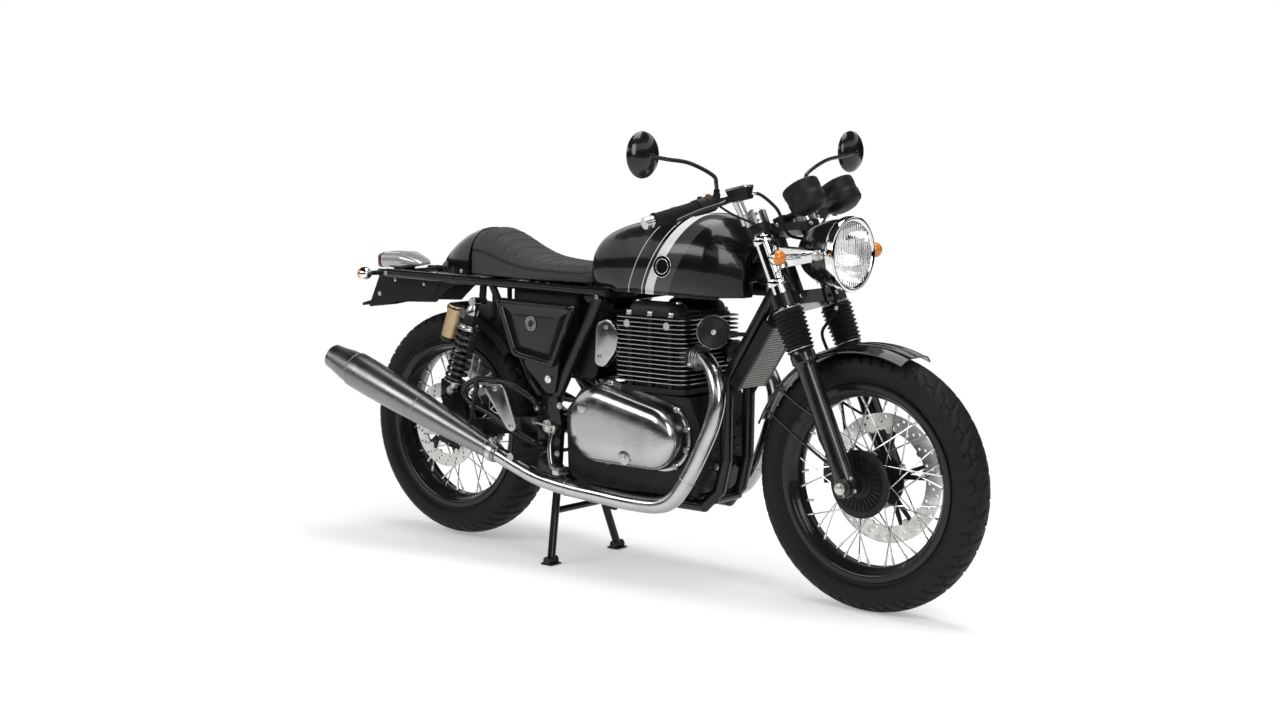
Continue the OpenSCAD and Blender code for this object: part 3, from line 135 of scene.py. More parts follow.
def object_place(tree):
    return put(tree, "TexCoord").outputs["Object"]


def math_node(tree, operation, a, b=0.5, clamp=False):
    return put(tree, "Math", {0: a, 1: b}, operation=operation, use_clamp=clamp).outputs[0]


def mix_colour(tree, factor, a, b):
    return put(tree, "Mix", {0: factor, 6: a, 7: b}, data_type="RGBA").outputs[2]


def engrave(tree, shader, height, distance, strength=1.0):
    """Relief on the surface from a pattern, its depth in metres."""
    relief = put(tree, "Bump", {"Height": height, "Distance": distance, "Strength": strength})
    tree.links.new(relief.outputs["Normal"], shader.inputs["Normal"])


# Patchy tone, patchy gloss and a fine grain: the wear and handling that any finish shows
MID_GREY = (0.5, 0.5, 0.5, 1)
patina = bpy.data.node_groups.new("patina", "ShaderNodeTree")
for label, value in (("Color", MID_GREY), ("Wear Color", MID_GREY), ("Wear Scale", 20.0),
                     ("Wear Amount", 0.3), ("Roughness", 0.4), ("Roughness Spread", 0.1),
                     ("Grain Scale", 400.0), ("Grain Height", 0.0001)):
    kind = "NodeSocketColor" if value is MID_GREY else "NodeSocketFloat"
    patina.interface.new_socket(name=label, in_out="INPUT", socket_type=kind).default_value = value
for label, kind in (("Color", "Color"), ("Roughness", "Float"), ("Normal", "Vector")):
    patina.interface.new_socket(name=label, in_out="OUTPUT", socket_type="NodeSocket" + kind)
given = patina.nodes.new("NodeGroupInput").outputs
shown = patina.nodes.new("NodeGroupOutput").inputs
coords = object_place(patina)
broad = put(patina, "TexNoise", {"Detail": 5.0, "Roughness": 0.62, "Vector": coords,
                                 "Scale": given["Wear Scale"]})
patch = math_node(patina, "SUBTRACT", broad.outputs["Fac"], 0.42, True)
patch = math_node(patina, "MULTIPLY", patch, 3.2, True)
share = math_node(patina, "MULTIPLY", patch, given["Wear Amount"])
patina.links.new(mix_colour(patina, share, given["Color"], given["Wear Color"]), shown["Color"])
swing = math_node(patina, "MULTIPLY", math_node(patina, "SUBTRACT", patch, 0.4), given["Roughness Spread"])
patina.links.new(math_node(patina, "ADD", given["Roughness"], swing, True), shown["Roughness"])
fine = put(patina, "TexNoise", {"Detail": 2.0, "Vector": coords, "Scale": given["Grain Scale"]})
relief = put(patina, "Bump", {"Height": fine.outputs["Fac"], "Distance": given["Grain Height"]})
patina.links.new(relief.outputs["Normal"], shown["Normal"])


def new_finish(name, metallic=0.0, coat=0.0, coat_roughness=0.04, specular=0.5):
    """Empty material with its shader; the finish's own nodes are added after it."""
    material = bpy.data.materials.new(name)
    material.use_nodes = True
    shader = material.node_tree.nodes["Principled BSDF"]
    for label, value in (("Metallic", metallic), ("Coat Weight", coat), ("Coat Roughness", coat_roughness),
                         ("Specular IOR Level", specular)):
        shader.inputs[label].default_value = value
    return material, material.node_tree, shader


def add_patina(tree, shader, color, wear, roughness, spread, scale, amount, grain, height):
    node = put(tree, "Group", {"Color": (*color, 1), "Wear Color": (*wear, 1), "Wear Scale": scale,
                               "Wear Amount": amount, "Roughness": roughness, "Roughness Spread": spread,
                               "Grain Scale": grain, "Grain Height": height}, node_tree=patina)
    for label, socket in (("Color", "Base Color"), ("Roughness", "Roughness"), ("Normal", "Normal")):
        tree.links.new(node.outputs[label], shader.inputs[socket])
    return node.outputs["Color"]


def worn_finish(name, color, wear, roughness, metallic=0.0, coat=0.0, spread=0.12, scale=18.0, amount=0.35,
                grain=300.0, height=0.0001):
    material, tree, shader = new_finish(name, metallic, coat, specular=0.2)
    add_patina(tree, shader, color, wear, roughness, spread, scale, amount, grain, height)
    return material


tyre_rubber = worn_finish("tyre_rubber", (0.008, 0.008, 0.0085), (0.021, 0.0205, 0.0195), 0.6, spread=0.16,
                          scale=9.0, amount=0.5, grain=520.0, height=0.00025)


def tyre_profile(outer_r, half, rim_half):
    """Half-round crown, flat sidewalls with two moulded rings, and a bead on each side."""
    bead = RIM_R + 0.6
    wide = RIM_R + (outer_r - RIM_R) * 0.5
    side = [(bead, rim_half - 0.6), (bead + 8, rim_half + 0.2), (243.4, rim_half + 0.6),
            (247, rim_half + 4.2), (249, rim_half + 4.6), (252, half * 0.86), (wide - 14, half - 1.6),
            (wide - 11, half - 0.2), (wide - 8, half - 1.0)]
    crown = []
    for k in range(41):
        a = math.radians(-90 + 180 * k / 40)
        crown.append((wide + (outer_r - wide) * math.cos(a), half * math.sin(a)))
    low = [(r, -y) for r, y in side]
    inside = [(bead, rim_half - 9), (wide, half - 9), (outer_r - 9, 0), (wide, 9 - half),
              (bead, 9 - rim_half)]
    return low + crown + side[::-1] + inside, len(low), len(crown)


# Grooves of one repeat of the tread, each from one end to the other with its width
GROOVES = (((0.10, 0.84), (0.46, 0.16), 0.040), ((0.46, 0.16), (0.56, 0.02), 0.034),
           ((0.58, 0.86), (0.80, 0.42), 0.036), ((0.24, 0.52), (0.66, 0.62), 0.030),
           ((0.80, 0.42), (1.04, 0.34), 0.030), ((-0.20, 0.42), (0.04, 0.34), 0.030))


def tread_depth(u, across):
    """How deep the moulded groove is, 0 to 1: u counts repeats round the tyre, across is -1 to 1."""
    deepest = 0.0
    for side in SIDES:
        v = across * side
        w = (u + (0.5 if side > 0 else 0.0)) % 1.0
        for a, b, width in GROOVES:
            dx = b[0] - a[0]
            dy = b[1] - a[1]
            share = max(0.0, min(1.0, ((w - a[0]) * dx + (v - a[1]) * dy) / (dx * dx + dy * dy)))
            gap = math.hypot((w - a[0] - share * dx) * 1.15, v - a[1] - share * dy)
            deepest = max(deepest, min(1.0, max(0.0, (width * 1.5 - gap) / (width * 0.7))))
    return deepest


def make_tyre(name, centre, outer_r, width, rim_w, repeats, body, node):
    profile, first, count = tyre_profile(outer_r, width / 2, rim_w / 2)
    steps = 540
    verts, faces = lathe(profile, steps)
    wide = RIM_R + (outer_r - RIM_R) * 0.5
    for i in range(steps + 1):
        for k in range(first, first + count):
            across = -1 + 2 * (k - first) / (count - 1)
            depth = tread_depth(i % steps / steps * repeats, across * 1.22) * 4.2
            if depth > 0 and abs(across) < 0.8:
                at = i * len(profile) + k
                x, y, z = verts[at]
                r = math.hypot(x, z)
                pull = 1 - depth / math.hypot(r - wide, y)
                r2 = wide + (r - wide) * pull
                verts[at] = (x * r2 / r, y * pull, z * r2 / r)
    make_piece(name, [shifted((verts, faces), *centre)], tyre_rubber, body, [node], crease=60)


make_tyre("front_tyre_tread", FRONT_AXLE, 318.6, 100.0, 63.0, 30, "front_wheel_set", "front_tyre")
make_tyre("rear_tyre_tread", REAR_AXLE, 319.6, 130.0, 89.0, 27, "rear_wheel_set", "rear_tyre")

# ---------------------------------------------------------------- rims and spokes
# Rolled steel rims, stove-enamelled black with a deep drop centre, laced with crossed stainless
# spokes that screw into plated nipples at the rim and hook into the hub's flanges.
UP = Vector((0, 0, 1))


def frames_along(points, hint):
    last = len(points) - 1
    side = None
    found = []
    for i in range(last + 1):
        along = (points[min(i + 1, last)] - points[max(i - 1, 0)]).normalized()
        if side is None:
            side = hint if abs(along.dot(hint)) < 0.9 else Vector((1, 0, 0))
        side = (side - along * side.dot(along)).normalized()
        found.append((side, along.cross(side)))
    return found


def tube(points, radius, sides=12, hint=UP):
    """Round bar along a route; the radius may change from point to point."""
    route = [Vector(p) for p in points]
    radii = radius if isinstance(radius, (list, tuple)) else [radius] * len(route)
    turns = [2 * math.pi * j / sides for j in range(sides)]
    return skinned([[p + u * (r * math.cos(a)) + v * (r * math.sin(a)) for a in turns] for p, r,
                    (u, v) in zip(route, radii, frames_along(route, hint))])


rim_enamel = worn_finish("rim_enamel", (0.008, 0.008, 0.008), (0.016, 0.016, 0.016), 0.3, coat=0.3,
                         scale=14.0, grain=160.0, height=0.00006)
spoke_steel = worn_finish("spoke_steel", (0.74, 0.74, 0.73), (0.5, 0.49, 0.47), 0.27, metallic=1.0,
                          scale=40.0, grain=600.0, height=0.00004)


def rim_profile(h):
    """Rolled section with hooked flanges and a drop centre; h is half its inside width."""
    outside = [(241.1, h + 4), (242, h + 2.4), (241.1, h + 0.4), (232, h + 0.2), (228.7, h), (227.4, h - 4),
               (225.6, h - 12), (216, 14.5), (213, 11.5)]
    under = [(207, 11), (208.5, 15.5), (212, 18), (219, h - 4), (223.6, h + 3), (229, h + 4.2),
             (237, h + 4.6)]
    return outside + [(r, -y) for r, y in reversed(outside)] + [(r, -y) for r, y in reversed(under)] + under


def make_laced_wheel(side_name, centre, rim_w, flange_y, flange_r, body, node):
    make_piece(side_name + "_rim", [shifted(lathe(rim_profile(rim_w / 2), 180), *centre)], rim_enamel, body,
               [node], crease=50)
    spokes = []
    nipples = []
    for i in range(36):
        side = 1 if i % 2 == 0 else -1
        way = 1 if (i // 2) % 2 == 0 else -1
        rim_a = math.radians(i * 10)
        a = polar(flange_r - 7, rim_a + way * math.radians(42), side * (flange_y + way * 2.5))
        b = polar(209, rim_a, side * (6 + way * 2))
        run = (b - a).normalized()
        hook = Vector((0, side * way, 0))
        spokes.append(shifted(tube([a - run * 4, b], 1.8, 8), *centre))
        spokes.append(shifted(tube([a - run * 3 + hook * 2.6, a - run * 3 - hook * 5.2], [3.2, 2.4], 8),
                              *centre))
        nipples.append(shifted(tube([b + run * d for d in (-20, -18, -2, 2)], [2.6, 3.3, 3.3, 4.6], 8),
                               *centre))
    make_piece(side_name + "_spokes", spokes, spoke_steel, body)
    make_piece(side_name + "_nipples", nipples, spoke_steel, body, crease=60)


make_laced_wheel("front", FRONT_AXLE, 63.0, 33.0, 70.0, "front_wheel_set", "front_wheel")
make_laced_wheel("rear", REAR_AXLE, 89.0, 40.0, 72.0, "rear_wheel_set", "rear_wheel")

# ---------------------------------------------------------------- hubs, discs and sprocket
# Die-cast hubs in satin black with drilled spoke flanges; the front one closes its right side
# with a ribbed round cover. Steel discs sit on black five-armed carriers, drilled all round.


def smooth_path(points, steps=6):
    p = [Vector(q) for q in points]
    out = []
    for i in range(len(p) - 1):
        a, b, c, d = p[max(i - 1, 0)], p[i], p[i + 1], p[min(i + 2, len(p) - 1)]
        for t in (k / steps for k in range(steps)):
            out.append(0.5 * (2 * b + (c - a) * t + (2 * a - 5 * b + 4 * c - d) * t * t
                              + (3 * b - a - 3 * c + d) * t * t * t))
    return out + [p[-1]]


def circle_points(x, z, r, steps=24):
    turns = [2 * math.pi * k / steps for k in range(steps)]
    return [(x + r * math.cos(a), z + r * math.sin(a)) for a in turns]


def cut_plate(loops, y0, y1):
    """Plate in the XZ plane with holes: the first loop is its edge and the others are cut out."""
    work = bmesh.new()
    edges = []
    for loop in loops:
        ring = [work.verts.new((x, 0, z)) for x, z in loop]
        edges += [work.edges.new(pair) for pair in zip(ring, ring[1:] + ring[:1])]
    filled = bmesh.ops.triangle_fill(work, edges=edges, use_beauty=True, use_dissolve=False)
    flat = [g for g in filled["geom"] if isinstance(g, bmesh.types.BMFace)]
    work.verts.index_update()
    count = len(work.verts)
    verts = [(v.co.x, y, v.co.z) for y in (y0, y1) for v in work.verts]
    tris = [tuple(v.index for v in f.verts) for f in flat]
    walls = [(e.verts[0].index, e.verts[1].index) for e in work.edges if len(e.link_faces) == 1]
    work.free()
    faces = tris + [tuple(i + count for i in reversed(f)) for f in tris]
    return verts, faces + [(a, b, b + count, a + count) for a, b in walls]


HEAD_HINT = Vector((0.3, 0.2, 0.93))


def bolt(at, toward, r=5.0, h=5.0):
    """Hexagon head with a washer and a chamfered top, its axis pointing out of the piece."""
    p = Vector(at)
    d = Vector(toward).normalized() * h
    head = tube([p + d * 0.2, p + d * 0.86, p + d], [r, r, r * 0.82], 6, HEAD_HINT)
    return [tube([p, p + d * 0.22], r * 1.3, 16, HEAD_HINT), head]


def cap_screw(at, toward, r=4.0, h=4.0):
    """Round socket head with a recess."""
    p = Vector(at)
    d = Vector(toward).normalized() * h
    return [tube([p, p + d * 0.85, p + d, p + d, p + d * 0.4], [r, r, r * 0.85, r * 0.52, r * 0.45], 12,
                 HEAD_HINT)]


hub_black = worn_finish("hub_black", (0.011, 0.011, 0.0115), (0.026, 0.026, 0.026), 0.4, scale=25.0,
                        grain=260.0, height=0.0002)
zinc_bolt = worn_finish("zinc_bolt", (0.62, 0.61, 0.58), (0.36, 0.35, 0.33), 0.34, metallic=1.0, scale=60.0,
                        grain=500.0, height=0.00008)


def turned_steel(name, centre, color, roughness):
    """Ground steel: fine rings about an axle, and slight heat and pad marks."""
    material, tree, shader = new_finish(name, 1.0)
    add_patina(tree, shader, color, tuple(c * 0.62 for c in color), roughness, 0.16, 30.0, 0.45, 500.0,
               0.00004)
    shift = put(tree, "VectorMath", {0: object_place(tree), 1: tuple(c * 0.001 for c in centre)},
                operation="SUBTRACT")
    split = put(tree, "SeparateXYZ", {0: shift.outputs[0]})
    x2, z2 = (math_node(tree, "POWER", math_node(tree, "ABSOLUTE", split.outputs[i]), 2.0) for i in (0, 2))
    radius = math_node(tree, "POWER", math_node(tree, "ADD", x2, z2), 0.5)
    rings = put(tree, "TexNoise", {"Scale": 900.0, "W": radius}, noise_dimensions="1D")
    engrave(tree, shader, rings.outputs["Fac"], 0.00012)
    return material


front_disc_steel = turned_steel("front_disc_steel", FRONT_AXLE, (0.66, 0.65, 0.63), 0.3)
rear_disc_steel = turned_steel("rear_disc_steel", REAR_AXLE, (0.66, 0.65, 0.63), 0.3)


def make_disc(name, centre, outer_r, inner_r, bore_r, y, steel, body, node):
    holes = []
    for row, share in enumerate((0.2, 0.5, 0.8)):
        for i in range(row % 2, 36, 2):
            at = polar(inner_r + (outer_r - inner_r) * share, math.radians((i + 0.5 * row) * 10))
            holes.append(circle_points(at.x, at.z, 3.8, 12))
    inner = []
    for k in range(180):
        at = polar(inner_r - (5 if (k % 36) in (17, 18, 19) else 0), math.radians(2 * k))
        inner.append((at.x, at.z))
    ring = cut_plate([circle_points(0, 0, outer_r, 180), inner] + holes, y, y + 5)
    make_piece(name + "_disc_ring", [shifted(ring, *centre)], steel, body, stands_for=[node], crease=40)
    r0, r1, y0, y1 = bore_r, bore_r + 26, y - 1, y + 6
    arms = [lathe([(r0, y0 + 1), (r0 + 1, y0), (r1 - 1, y0), (r1, y0 + 1), (r1, y1 - 1), (r1 - 1, y1),
                   (r0 + 1, y1), (r0, y1 - 1)], 60)]
    rivets = []
    thick = Vector((0, 3.2, 0))
    for i in range(5):
        a = math.radians(13 + 72 * i)
        for lean in (-0.126, 0.126):
            start = polar(bore_r + 16, a, y + 2.5)
            tip = polar(inner_r + 2, a + lean, y + 2.5)
            wide = (tip - start).normalized().cross(Vector((0, 1, 0))) * 7
            corners = [start - wide, start + wide, tip + wide * 0.62, tip - wide * 0.62]
            arms.append(skinned([[c + thick * k for c in corners] for k in SIDES]))
        rivets.append(tube([polar(inner_r + 1, a, y - 1.5), polar(inner_r + 1, a, y + 6.5)], 8.5, 20))
        rivets += cap_screw(polar(bore_r + 13, a, y + 5.6), (0, 1, 0), 5, 5)
        rivets += cap_screw(polar(bore_r + 13, a, y - 0.8), (0, -1, 0), 5, 5)
    make_piece(name + "_disc_carrier", [shifted(p, *centre) for p in arms], hub_black, body,
               bevel=0.6)
    make_piece(name + "_disc_rivets", [shifted(p, *centre) for p in rivets], zinc_bolt, body, bevel=0.4)


make_disc("front", FRONT_AXLE, 160.0, 118.0, 25.3, 56.0, front_disc_steel, "front_wheel_set", "front_disc")
make_disc("rear", REAR_AXLE, 120.0, 84.0, 28.3, -75.0, rear_disc_steel, "rear_wheel_set", "rear_disc")


front_hub = [lathe([(8.6, -69), (22, -69), (25, -67), (25, -59), (31, -58), (30, -46), (29, 0), (30, 46),
                    (31, 55), (25, 56), (25, 67), (22, 69), (8.6, 69)], 64)]
rear_hub = [lathe([(8.6, -92), (24, -92), (28, -90), (28, -70), (36, -69), (35, -44), (34, 0), (35, 40),
                   (68, 42), (70, 46), (70, 72), (66, 75.7), (28, 75.7), (28, 90), (24, 92), (8.6, 92)], 64)]
for s in SIDES:
    front_hub.append(lathe([(29, s * 29), (60, s * 30.5), (70, s * 30), (70.5, s * 33), (70, s * 36),
                            (60, s * 35.5), (29, s * 40)], 90))
    rear_hub.append(lathe([(34, s * 36), (62, s * 37.5), (72, s * 37), (72.5, s * 40), (72, s * 43),
                           (62, s * 42.5), (34, s * 46)], 90))
front_hub.append(lathe([(25, -44), (78, -44), (82, -45), (83, -48), (83, -53), (80, -56), (70, -58),
                        (66, -56.5), (34, -56.5), (30, -58), (25, -58)], 90))
for i in range(30):
    a = math.radians(12 * i)
    tangent = polar(1, a + math.pi / 2)
    front_hub.append(skinned([[polar(35, a, y) - tangent * 1.2, polar(35, a, y) + tangent * 1.2,
                               polar(64, a, y) + tangent * 2.0,
                               polar(64, a, y) - tangent * 2.0] for y in (-56, -59.5)]))
make_piece("front_hub", [shifted(p, *FRONT_AXLE) for p in front_hub], hub_black, "front_wheel_set",
           crease=30)
make_piece("rear_hub", [shifted(p, *REAR_AXLE) for p in rear_hub], hub_black, "rear_wheel_set",
           crease=30)

TEETH = 38
tooth_points = []
for k in range(TEETH * 4):
    at = polar((92, 89.5, 85.5, 89.5)[k % 4], 2 * math.pi * k / (TEETH * 4))
    tooth_points.append((at.x, at.z))
windows = [circle_points(*polar(60, math.radians(60 * i)).xz, 13, 20) for i in range(6)]
sprocket = [cut_plate([tooth_points] + windows + [circle_points(0, 0, 28.3, 40)], 76, 83)]
for i in range(6):
    sprocket += bolt(polar(46, math.radians(30 + 60 * i), 83), (0, 1, 0), 7, 7)
make_piece("rear_sprocket_teeth", [shifted(p, *REAR_AXLE) for p in sprocket],
           turned_steel("sprocket_steel", REAR_AXLE, (0.42, 0.41, 0.39), 0.42), "rear_wheel_set",
           ["rear_sprocket"], crease=30)

# ---------------------------------------------------------------- frame
# Double-cradle frame of steel tube: backbone, two down tubes, plates at the swingarm pivot and
# straight seat rails, all bronze-welded and powder-coated satin black. The welds show as beads.
frame_black = worn_finish("frame_black", (0.008, 0.008, 0.0085), (0.02, 0.02, 0.02), 0.28, coat=0.3,
                          spread=0.14, scale=11.0, grain=210.0, height=0.00012)


def refinish(material, *nodes):
    """CAD nodes that stay get this finish in place of their packed one."""
    for node in nodes:
        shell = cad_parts[node]
        if not shell.material_slots:
            shell.data.materials.append(material)
        for one in shell.material_slots:
            one.material = material


refinish(frame_black, "frame_spine", "frame_cradle", "seat_rails", "swingarm", "lower_yoke", "centre_stand",
         "side_stand")


def weld_ring(at, along, r, wire=2.2, count=48):
    """Weld bead round a tube: a ring of small overlapping ripples."""
    d = Vector(along).normalized()
    u = d.orthogonal().normalized()
    v = d.cross(u)
    turns = [2 * math.pi * k / count for k in range(count + 1)]
    ring = [Vector(at) + u * (r * math.cos(a)) + v * (r * math.sin(a)) for a in turns]
    return tube(ring, [wire * (1.0 + 0.22 * math.sin(k * 2.6)) for k in range(count + 1)], 6, d)


def rail_z(x):
    """Height of the seat rails' middle line, which rises slightly to the back."""
    return 739 + 13 * (-60 - x) / 808


welds = [weld_ring((452, 0, 814.5), (569, 0, 96), 22.2)]
bolts = []
plugs = []
for s in SIDES:
    welds.append(weld_ring((459, s * 28, 748), (-153, s * 21, -261), 16))
    welds += [weld_ring((x, s * 98, z), (165, 0, 297), 16) for x, z in ((-212, 434), (-54, 718))]
    welds.append(weld_ring((-430, s * 98, 739), (20, 0, -40), 12))
    welds += [weld_ring((x, s * 86.4, rail_z(x)), (0, 1, 0), 8.4, 1.8) for x in (-240, -500, -852)]
    welds.append(weld_ring((-140, s * 49, 206), (0, 1, 0), 13.2, 2))
    for x, y, z, r, h in ((-176, 114, 430, 7, 7), (-240, 114, 420, 6, 6), (-252, 114, 300, 6, 6),
                          (-186, 114, 300, 6, 6), (312, 54, 312, 8, 7), (-860, 110, 751.8, 5, 4)):
        bolts += bolt((x, s * y, z), (0, s, 0), r, h)
    bolts += cap_screw((-46, s * 110, 728), (0, s, 0), 6, 5)
    plugs.append(tube([(-22, s * 98, 738.6), (-20, s * 98, 738.5), (-17, s * 98, 738.5)], [12.4, 12.4, 9],
                      20))
    plugs.append(tube([(-213, s * 75, 372), (-213, s * 96, 372)], 20, 24))
make_piece("frame_welds", welds, frame_black, crease=80)
make_piece("frame_bolts", bolts, zinc_bolt, bevel=0.3)

# Rubber plugs close the ends of the seat rails and of the swingarm's pivot tube
plug_rubber = worn_finish("plug_rubber", (0.01, 0.01, 0.01), (0.02, 0.02, 0.02), 0.7, grain=300.0,
                          height=0.0002)
make_piece("frame_plugs", plugs, plug_rubber, bevel=0.6)

# ---------------------------------------------------------------- swingarm hardware and spindles
# Box-section swingarm with chain adjusters at its ends: a pusher bolt and lock nut through each
# end cap. Both spindles and the pivot bolt are plated steel with hexagon ends.
refinish(zinc_bolt, "rear_axle", "front_axle")
adjusters = []
plates = []
plate_edge = [(-690, 306), (-690, 346), (-612, 350), (-600, 345), (-600, 314), (-612, 308)]
for s in SIDES:
    end = Vector((-690.5, s * 118, 324.5))
    adjusters += bolt(end, (-1, 0, -0.1), 6, 6)
    adjusters.append(tube([end, end + Vector((-20, 0, -2))], 4, 10))
    for x, y, z, r, h in ((-585.6, 131, 333.6, 6.5, 2), (-655.6, 141.3, 327.6, 10.5, 8),
                          (-215.6, 123, 372, 12, 6)):
        adjusters += bolt((x, s * y, z), (0, s, 0), r, h)
    y = s * 131.2
    plates.append(cut_plate([plate_edge, circle_points(-655.6, 327.6, 9)], min(y, y + s * 0.2),
                            max(y, y + s * 0.2) + 0.1))
make_piece("chain_adjusters", adjusters, zinc_bolt, bevel=0.4)
make_piece("adjuster_plates", plates, zinc_bolt)

# ---------------------------------------------------------------- drive chain
# Roller chain: pairs of waisted side plates on bushed rollers, running in a straight upper and
# lower strand between the two sprockets. The plates are oiled grey steel.
chain_steel = worn_finish("chain_steel", (0.34, 0.32, 0.29), (0.10, 0.09, 0.08), 0.38, metallic=1.0,
                          spread=0.2, scale=70.0, amount=0.6, grain=500.0, height=0.0001)
LINKS = 104
CHAIN_Y = 79
rear_s = Vector(REAR_AXLE)
front_s = Vector((-100, 0, 352))
rear_r = 92 + 5 + 6.5
front_r = 36 + 5 + 6.5
span = (front_s - rear_s).length
tilt = math.atan2(front_s.z - rear_s.z, front_s.x - rear_s.x)
wrap = math.acos((rear_r - front_r) / span)
strand = span * math.sin(wrap)
front_arc = 2 * wrap * front_r
chain_length = 2 * strand + front_arc + (2 * math.pi - 2 * wrap) * rear_r
pitch = chain_length / LINKS


def chain_point(s):
    """Point of the chain's line at a distance along it, in the wheel's own plane."""
    s = s % chain_length
    top, low = tilt + wrap, tilt - wrap
    if s < strand:
        return (rear_s + polar(rear_r, top)).lerp(front_s + polar(front_r, top), s / strand)
    s -= strand
    if s < front_arc:
        return front_s + polar(front_r, top - s / front_r)
    s -= front_arc
    if s < strand:
        return (front_s + polar(front_r, low)).lerp(rear_s + polar(rear_r, low), s / strand)
    return rear_s + polar(rear_r, low - (s - strand) / rear_r)


LINK_SHAPE = ((-0.32, 0), (-0.25, 3.6), (-0.05, 5.4), (0.15, 5.0), (0.5, 3.8), (0.85, 5.0), (1.05, 5.4),
              (1.25, 3.6), (1.32, 0))
chain_parts = []
for i in range(LINKS):
    a = chain_point(i * pitch)
    run = (chain_point((i + 1) * pitch) - a).normalized()
    up = Vector((-run.z, 0, run.x))
    loop = [a + run * (t * pitch) + up * w for t, w in LINK_SHAPE]
    loop += [a + run * (t * pitch) - up * w for t, w in reversed(LINK_SHAPE[1:-1])]
    inside = 4.4 if i % 2 == 0 else 5.9
    for s in SIDES:
        chain_parts.append(skinned([[(p.x, CHAIN_Y + s * y,
                                      p.z) for p in loop] for y in (inside, inside + 1.2)]))
    for half, r in ((6.8, 2.0), (4.0, 4.2)):
        chain_parts.append(tube([(a.x, CHAIN_Y - half, a.z), (a.x, CHAIN_Y + half, a.z)], r, 8))
make_piece("roller_chain", chain_parts, chain_steel, stands_for=["drive_chain"], crease=30)
refinish(frame_black, "chain_guard")
guard_trim = [tube([(-686, 106.5, 443.4), (-526, 106.5, 441.6), (-365, 106.5, 432)], 2.4, 8)]
for x in (-640, -430):
    guard_trim += bolt((x, 106, 418), (0, 1, 0), 5, 4)
make_piece("chain_guard_trim", guard_trim, frame_black)

# ---------------------------------------------------------------- crankcase
# Air-cooled parallel twin: a cast aluminium crankcase painted black, with cast ribs on its top
# and front, a finned sump, and two starter housings lying behind the barrels.
engine_black = worn_finish("engine_black", (0.014, 0.014, 0.0145), (0.034, 0.034, 0.034), 0.4, spread=0.14,
                           scale=26.0, amount=0.4, grain=330.0, height=0.0005)
polished_alloy = worn_finish("polished_alloy", (0.44, 0.435, 0.425), (0.29, 0.287, 0.28), 0.23, metallic=1.0,
                             spread=0.14, scale=13.0, amount=0.4, grain=120.0, height=0.00018)
cast_alloy = worn_finish("cast_alloy", (0.42, 0.415, 0.40), (0.22, 0.215, 0.205), 0.42, metallic=1.0,
                         spread=0.2, scale=24.0, amount=0.5, grain=420.0, height=0.0004)
refinish(engine_black, "crankcase")


def swept_outline(outline, y0, y1, roundness=6.0):
    """Casting cut from a side-view outline, its edges rounded in two steps."""
    cx, cz = (sum(p[k] for p in outline) / len(outline) for k in (0, 1))
    size = max(abs(p[0] - cx) for p in outline)
    step = roundness if y1 > y0 else -roundness
    rings = []
    for t, y in ((1, y0), (0.3, y0 + 0.3 * step), (0, y0 + step), (0, y1 - step), (0.3, y1 - 0.3 * step),
                 (1, y1)):
        k = 1 - t * roundness / size
        rings.append([(cx + (x - cx) * k, y, cz + (z - cz) * k) for x, z in outline])
    verts, sides = skinned(rings, ends=False)
    n = len(outline)
    return verts, [tuple(range(n))] + sides + [tuple(reversed(range(len(verts) - n, len(verts))))]


def rounded(points, r, steps=5):
    """Outline with its corners cut to arcs."""
    out = []
    n = len(points)
    for i in range(n):
        p = Vector((*points[i], 0))
        a = Vector((*points[i - 1], 0)) - p
        b = Vector((*points[(i + 1) % n], 0)) - p
        reach = min(r, a.length * 0.45, b.length * 0.45)
        p0 = p + a.normalized() * reach
        p1 = p + b.normalized() * reach
        for k in range(steps + 1):
            t = k / steps
            q = p0 * (1 - t) ** 2 + p * (2 * t * (1 - t)) + p1 * t ** 2
            out.append((q.x, q.y))
    return out


def across(x, z, ys, radius, sides=12):
    """Round bar that lies across the machine."""
    return tube([(x, y, z) for y in ys], radius, sides)


case_ribs = [across(12 + i * 16, 199, (-33, 33), 3.4, 8) for i in range(9)]
for s in SIDES:
    case_ribs += [tube([(x, s * 40, 229), (x, s * 102, 231)], [4, 3], 8) for x in range(-130, 270, 26)]
    case_ribs += [tube([(298, s * 30, z), (297, s * 100, z)], [4.4, 3.4], 8) for z in (330, 352, 374)]
make_piece("crankcase_ribs", case_ribs, engine_black, crease=60)
starter = [tube([(60, -60, 512), (66, -60, 512), (168, -60, 512), (176, -60, 512)], [20, 26, 26, 20], 32)]
starter.append(tube([(60, 60, 508), (66, 60, 508), (140, 60, 508), (146, 60, 508)], [14, 18, 18, 14], 32))

# ---------------------------------------------------------------- crankcase side covers
# Polished aluminium covers: a wide oval on each side with a domed face, a flat machined lip,
# nine socket screws in raised bosses, and a round inspection cap.
CASE_HALF = 108.4


def cover_outline(grow=0.0, steps=26):
    """Belt round two circles: the big end at the back and the small one in front."""
    x0, z0, r0 = 8.0, 404.0, 110.0 + grow
    x1, z1, r1 = 182.0, 386.0, 92.0 + grow
    length = math.hypot(x1 - x0, z1 - z0)
    along = math.atan2(z1 - z0, x1 - x0)
    a = math.acos((r0 - r1) / length)
    out = []
    for k in range(steps + 1):
        t = along + a + (2 * math.pi - 2 * a) * k / steps
        out.append((x0 + r0 * math.cos(t), z0 + r0 * math.sin(t)))
    for k in range(steps + 1):
        t = along - a + 2 * a * k / steps
        out.append((x1 + r1 * math.cos(t), z1 + r1 * math.sin(t)))
    return out


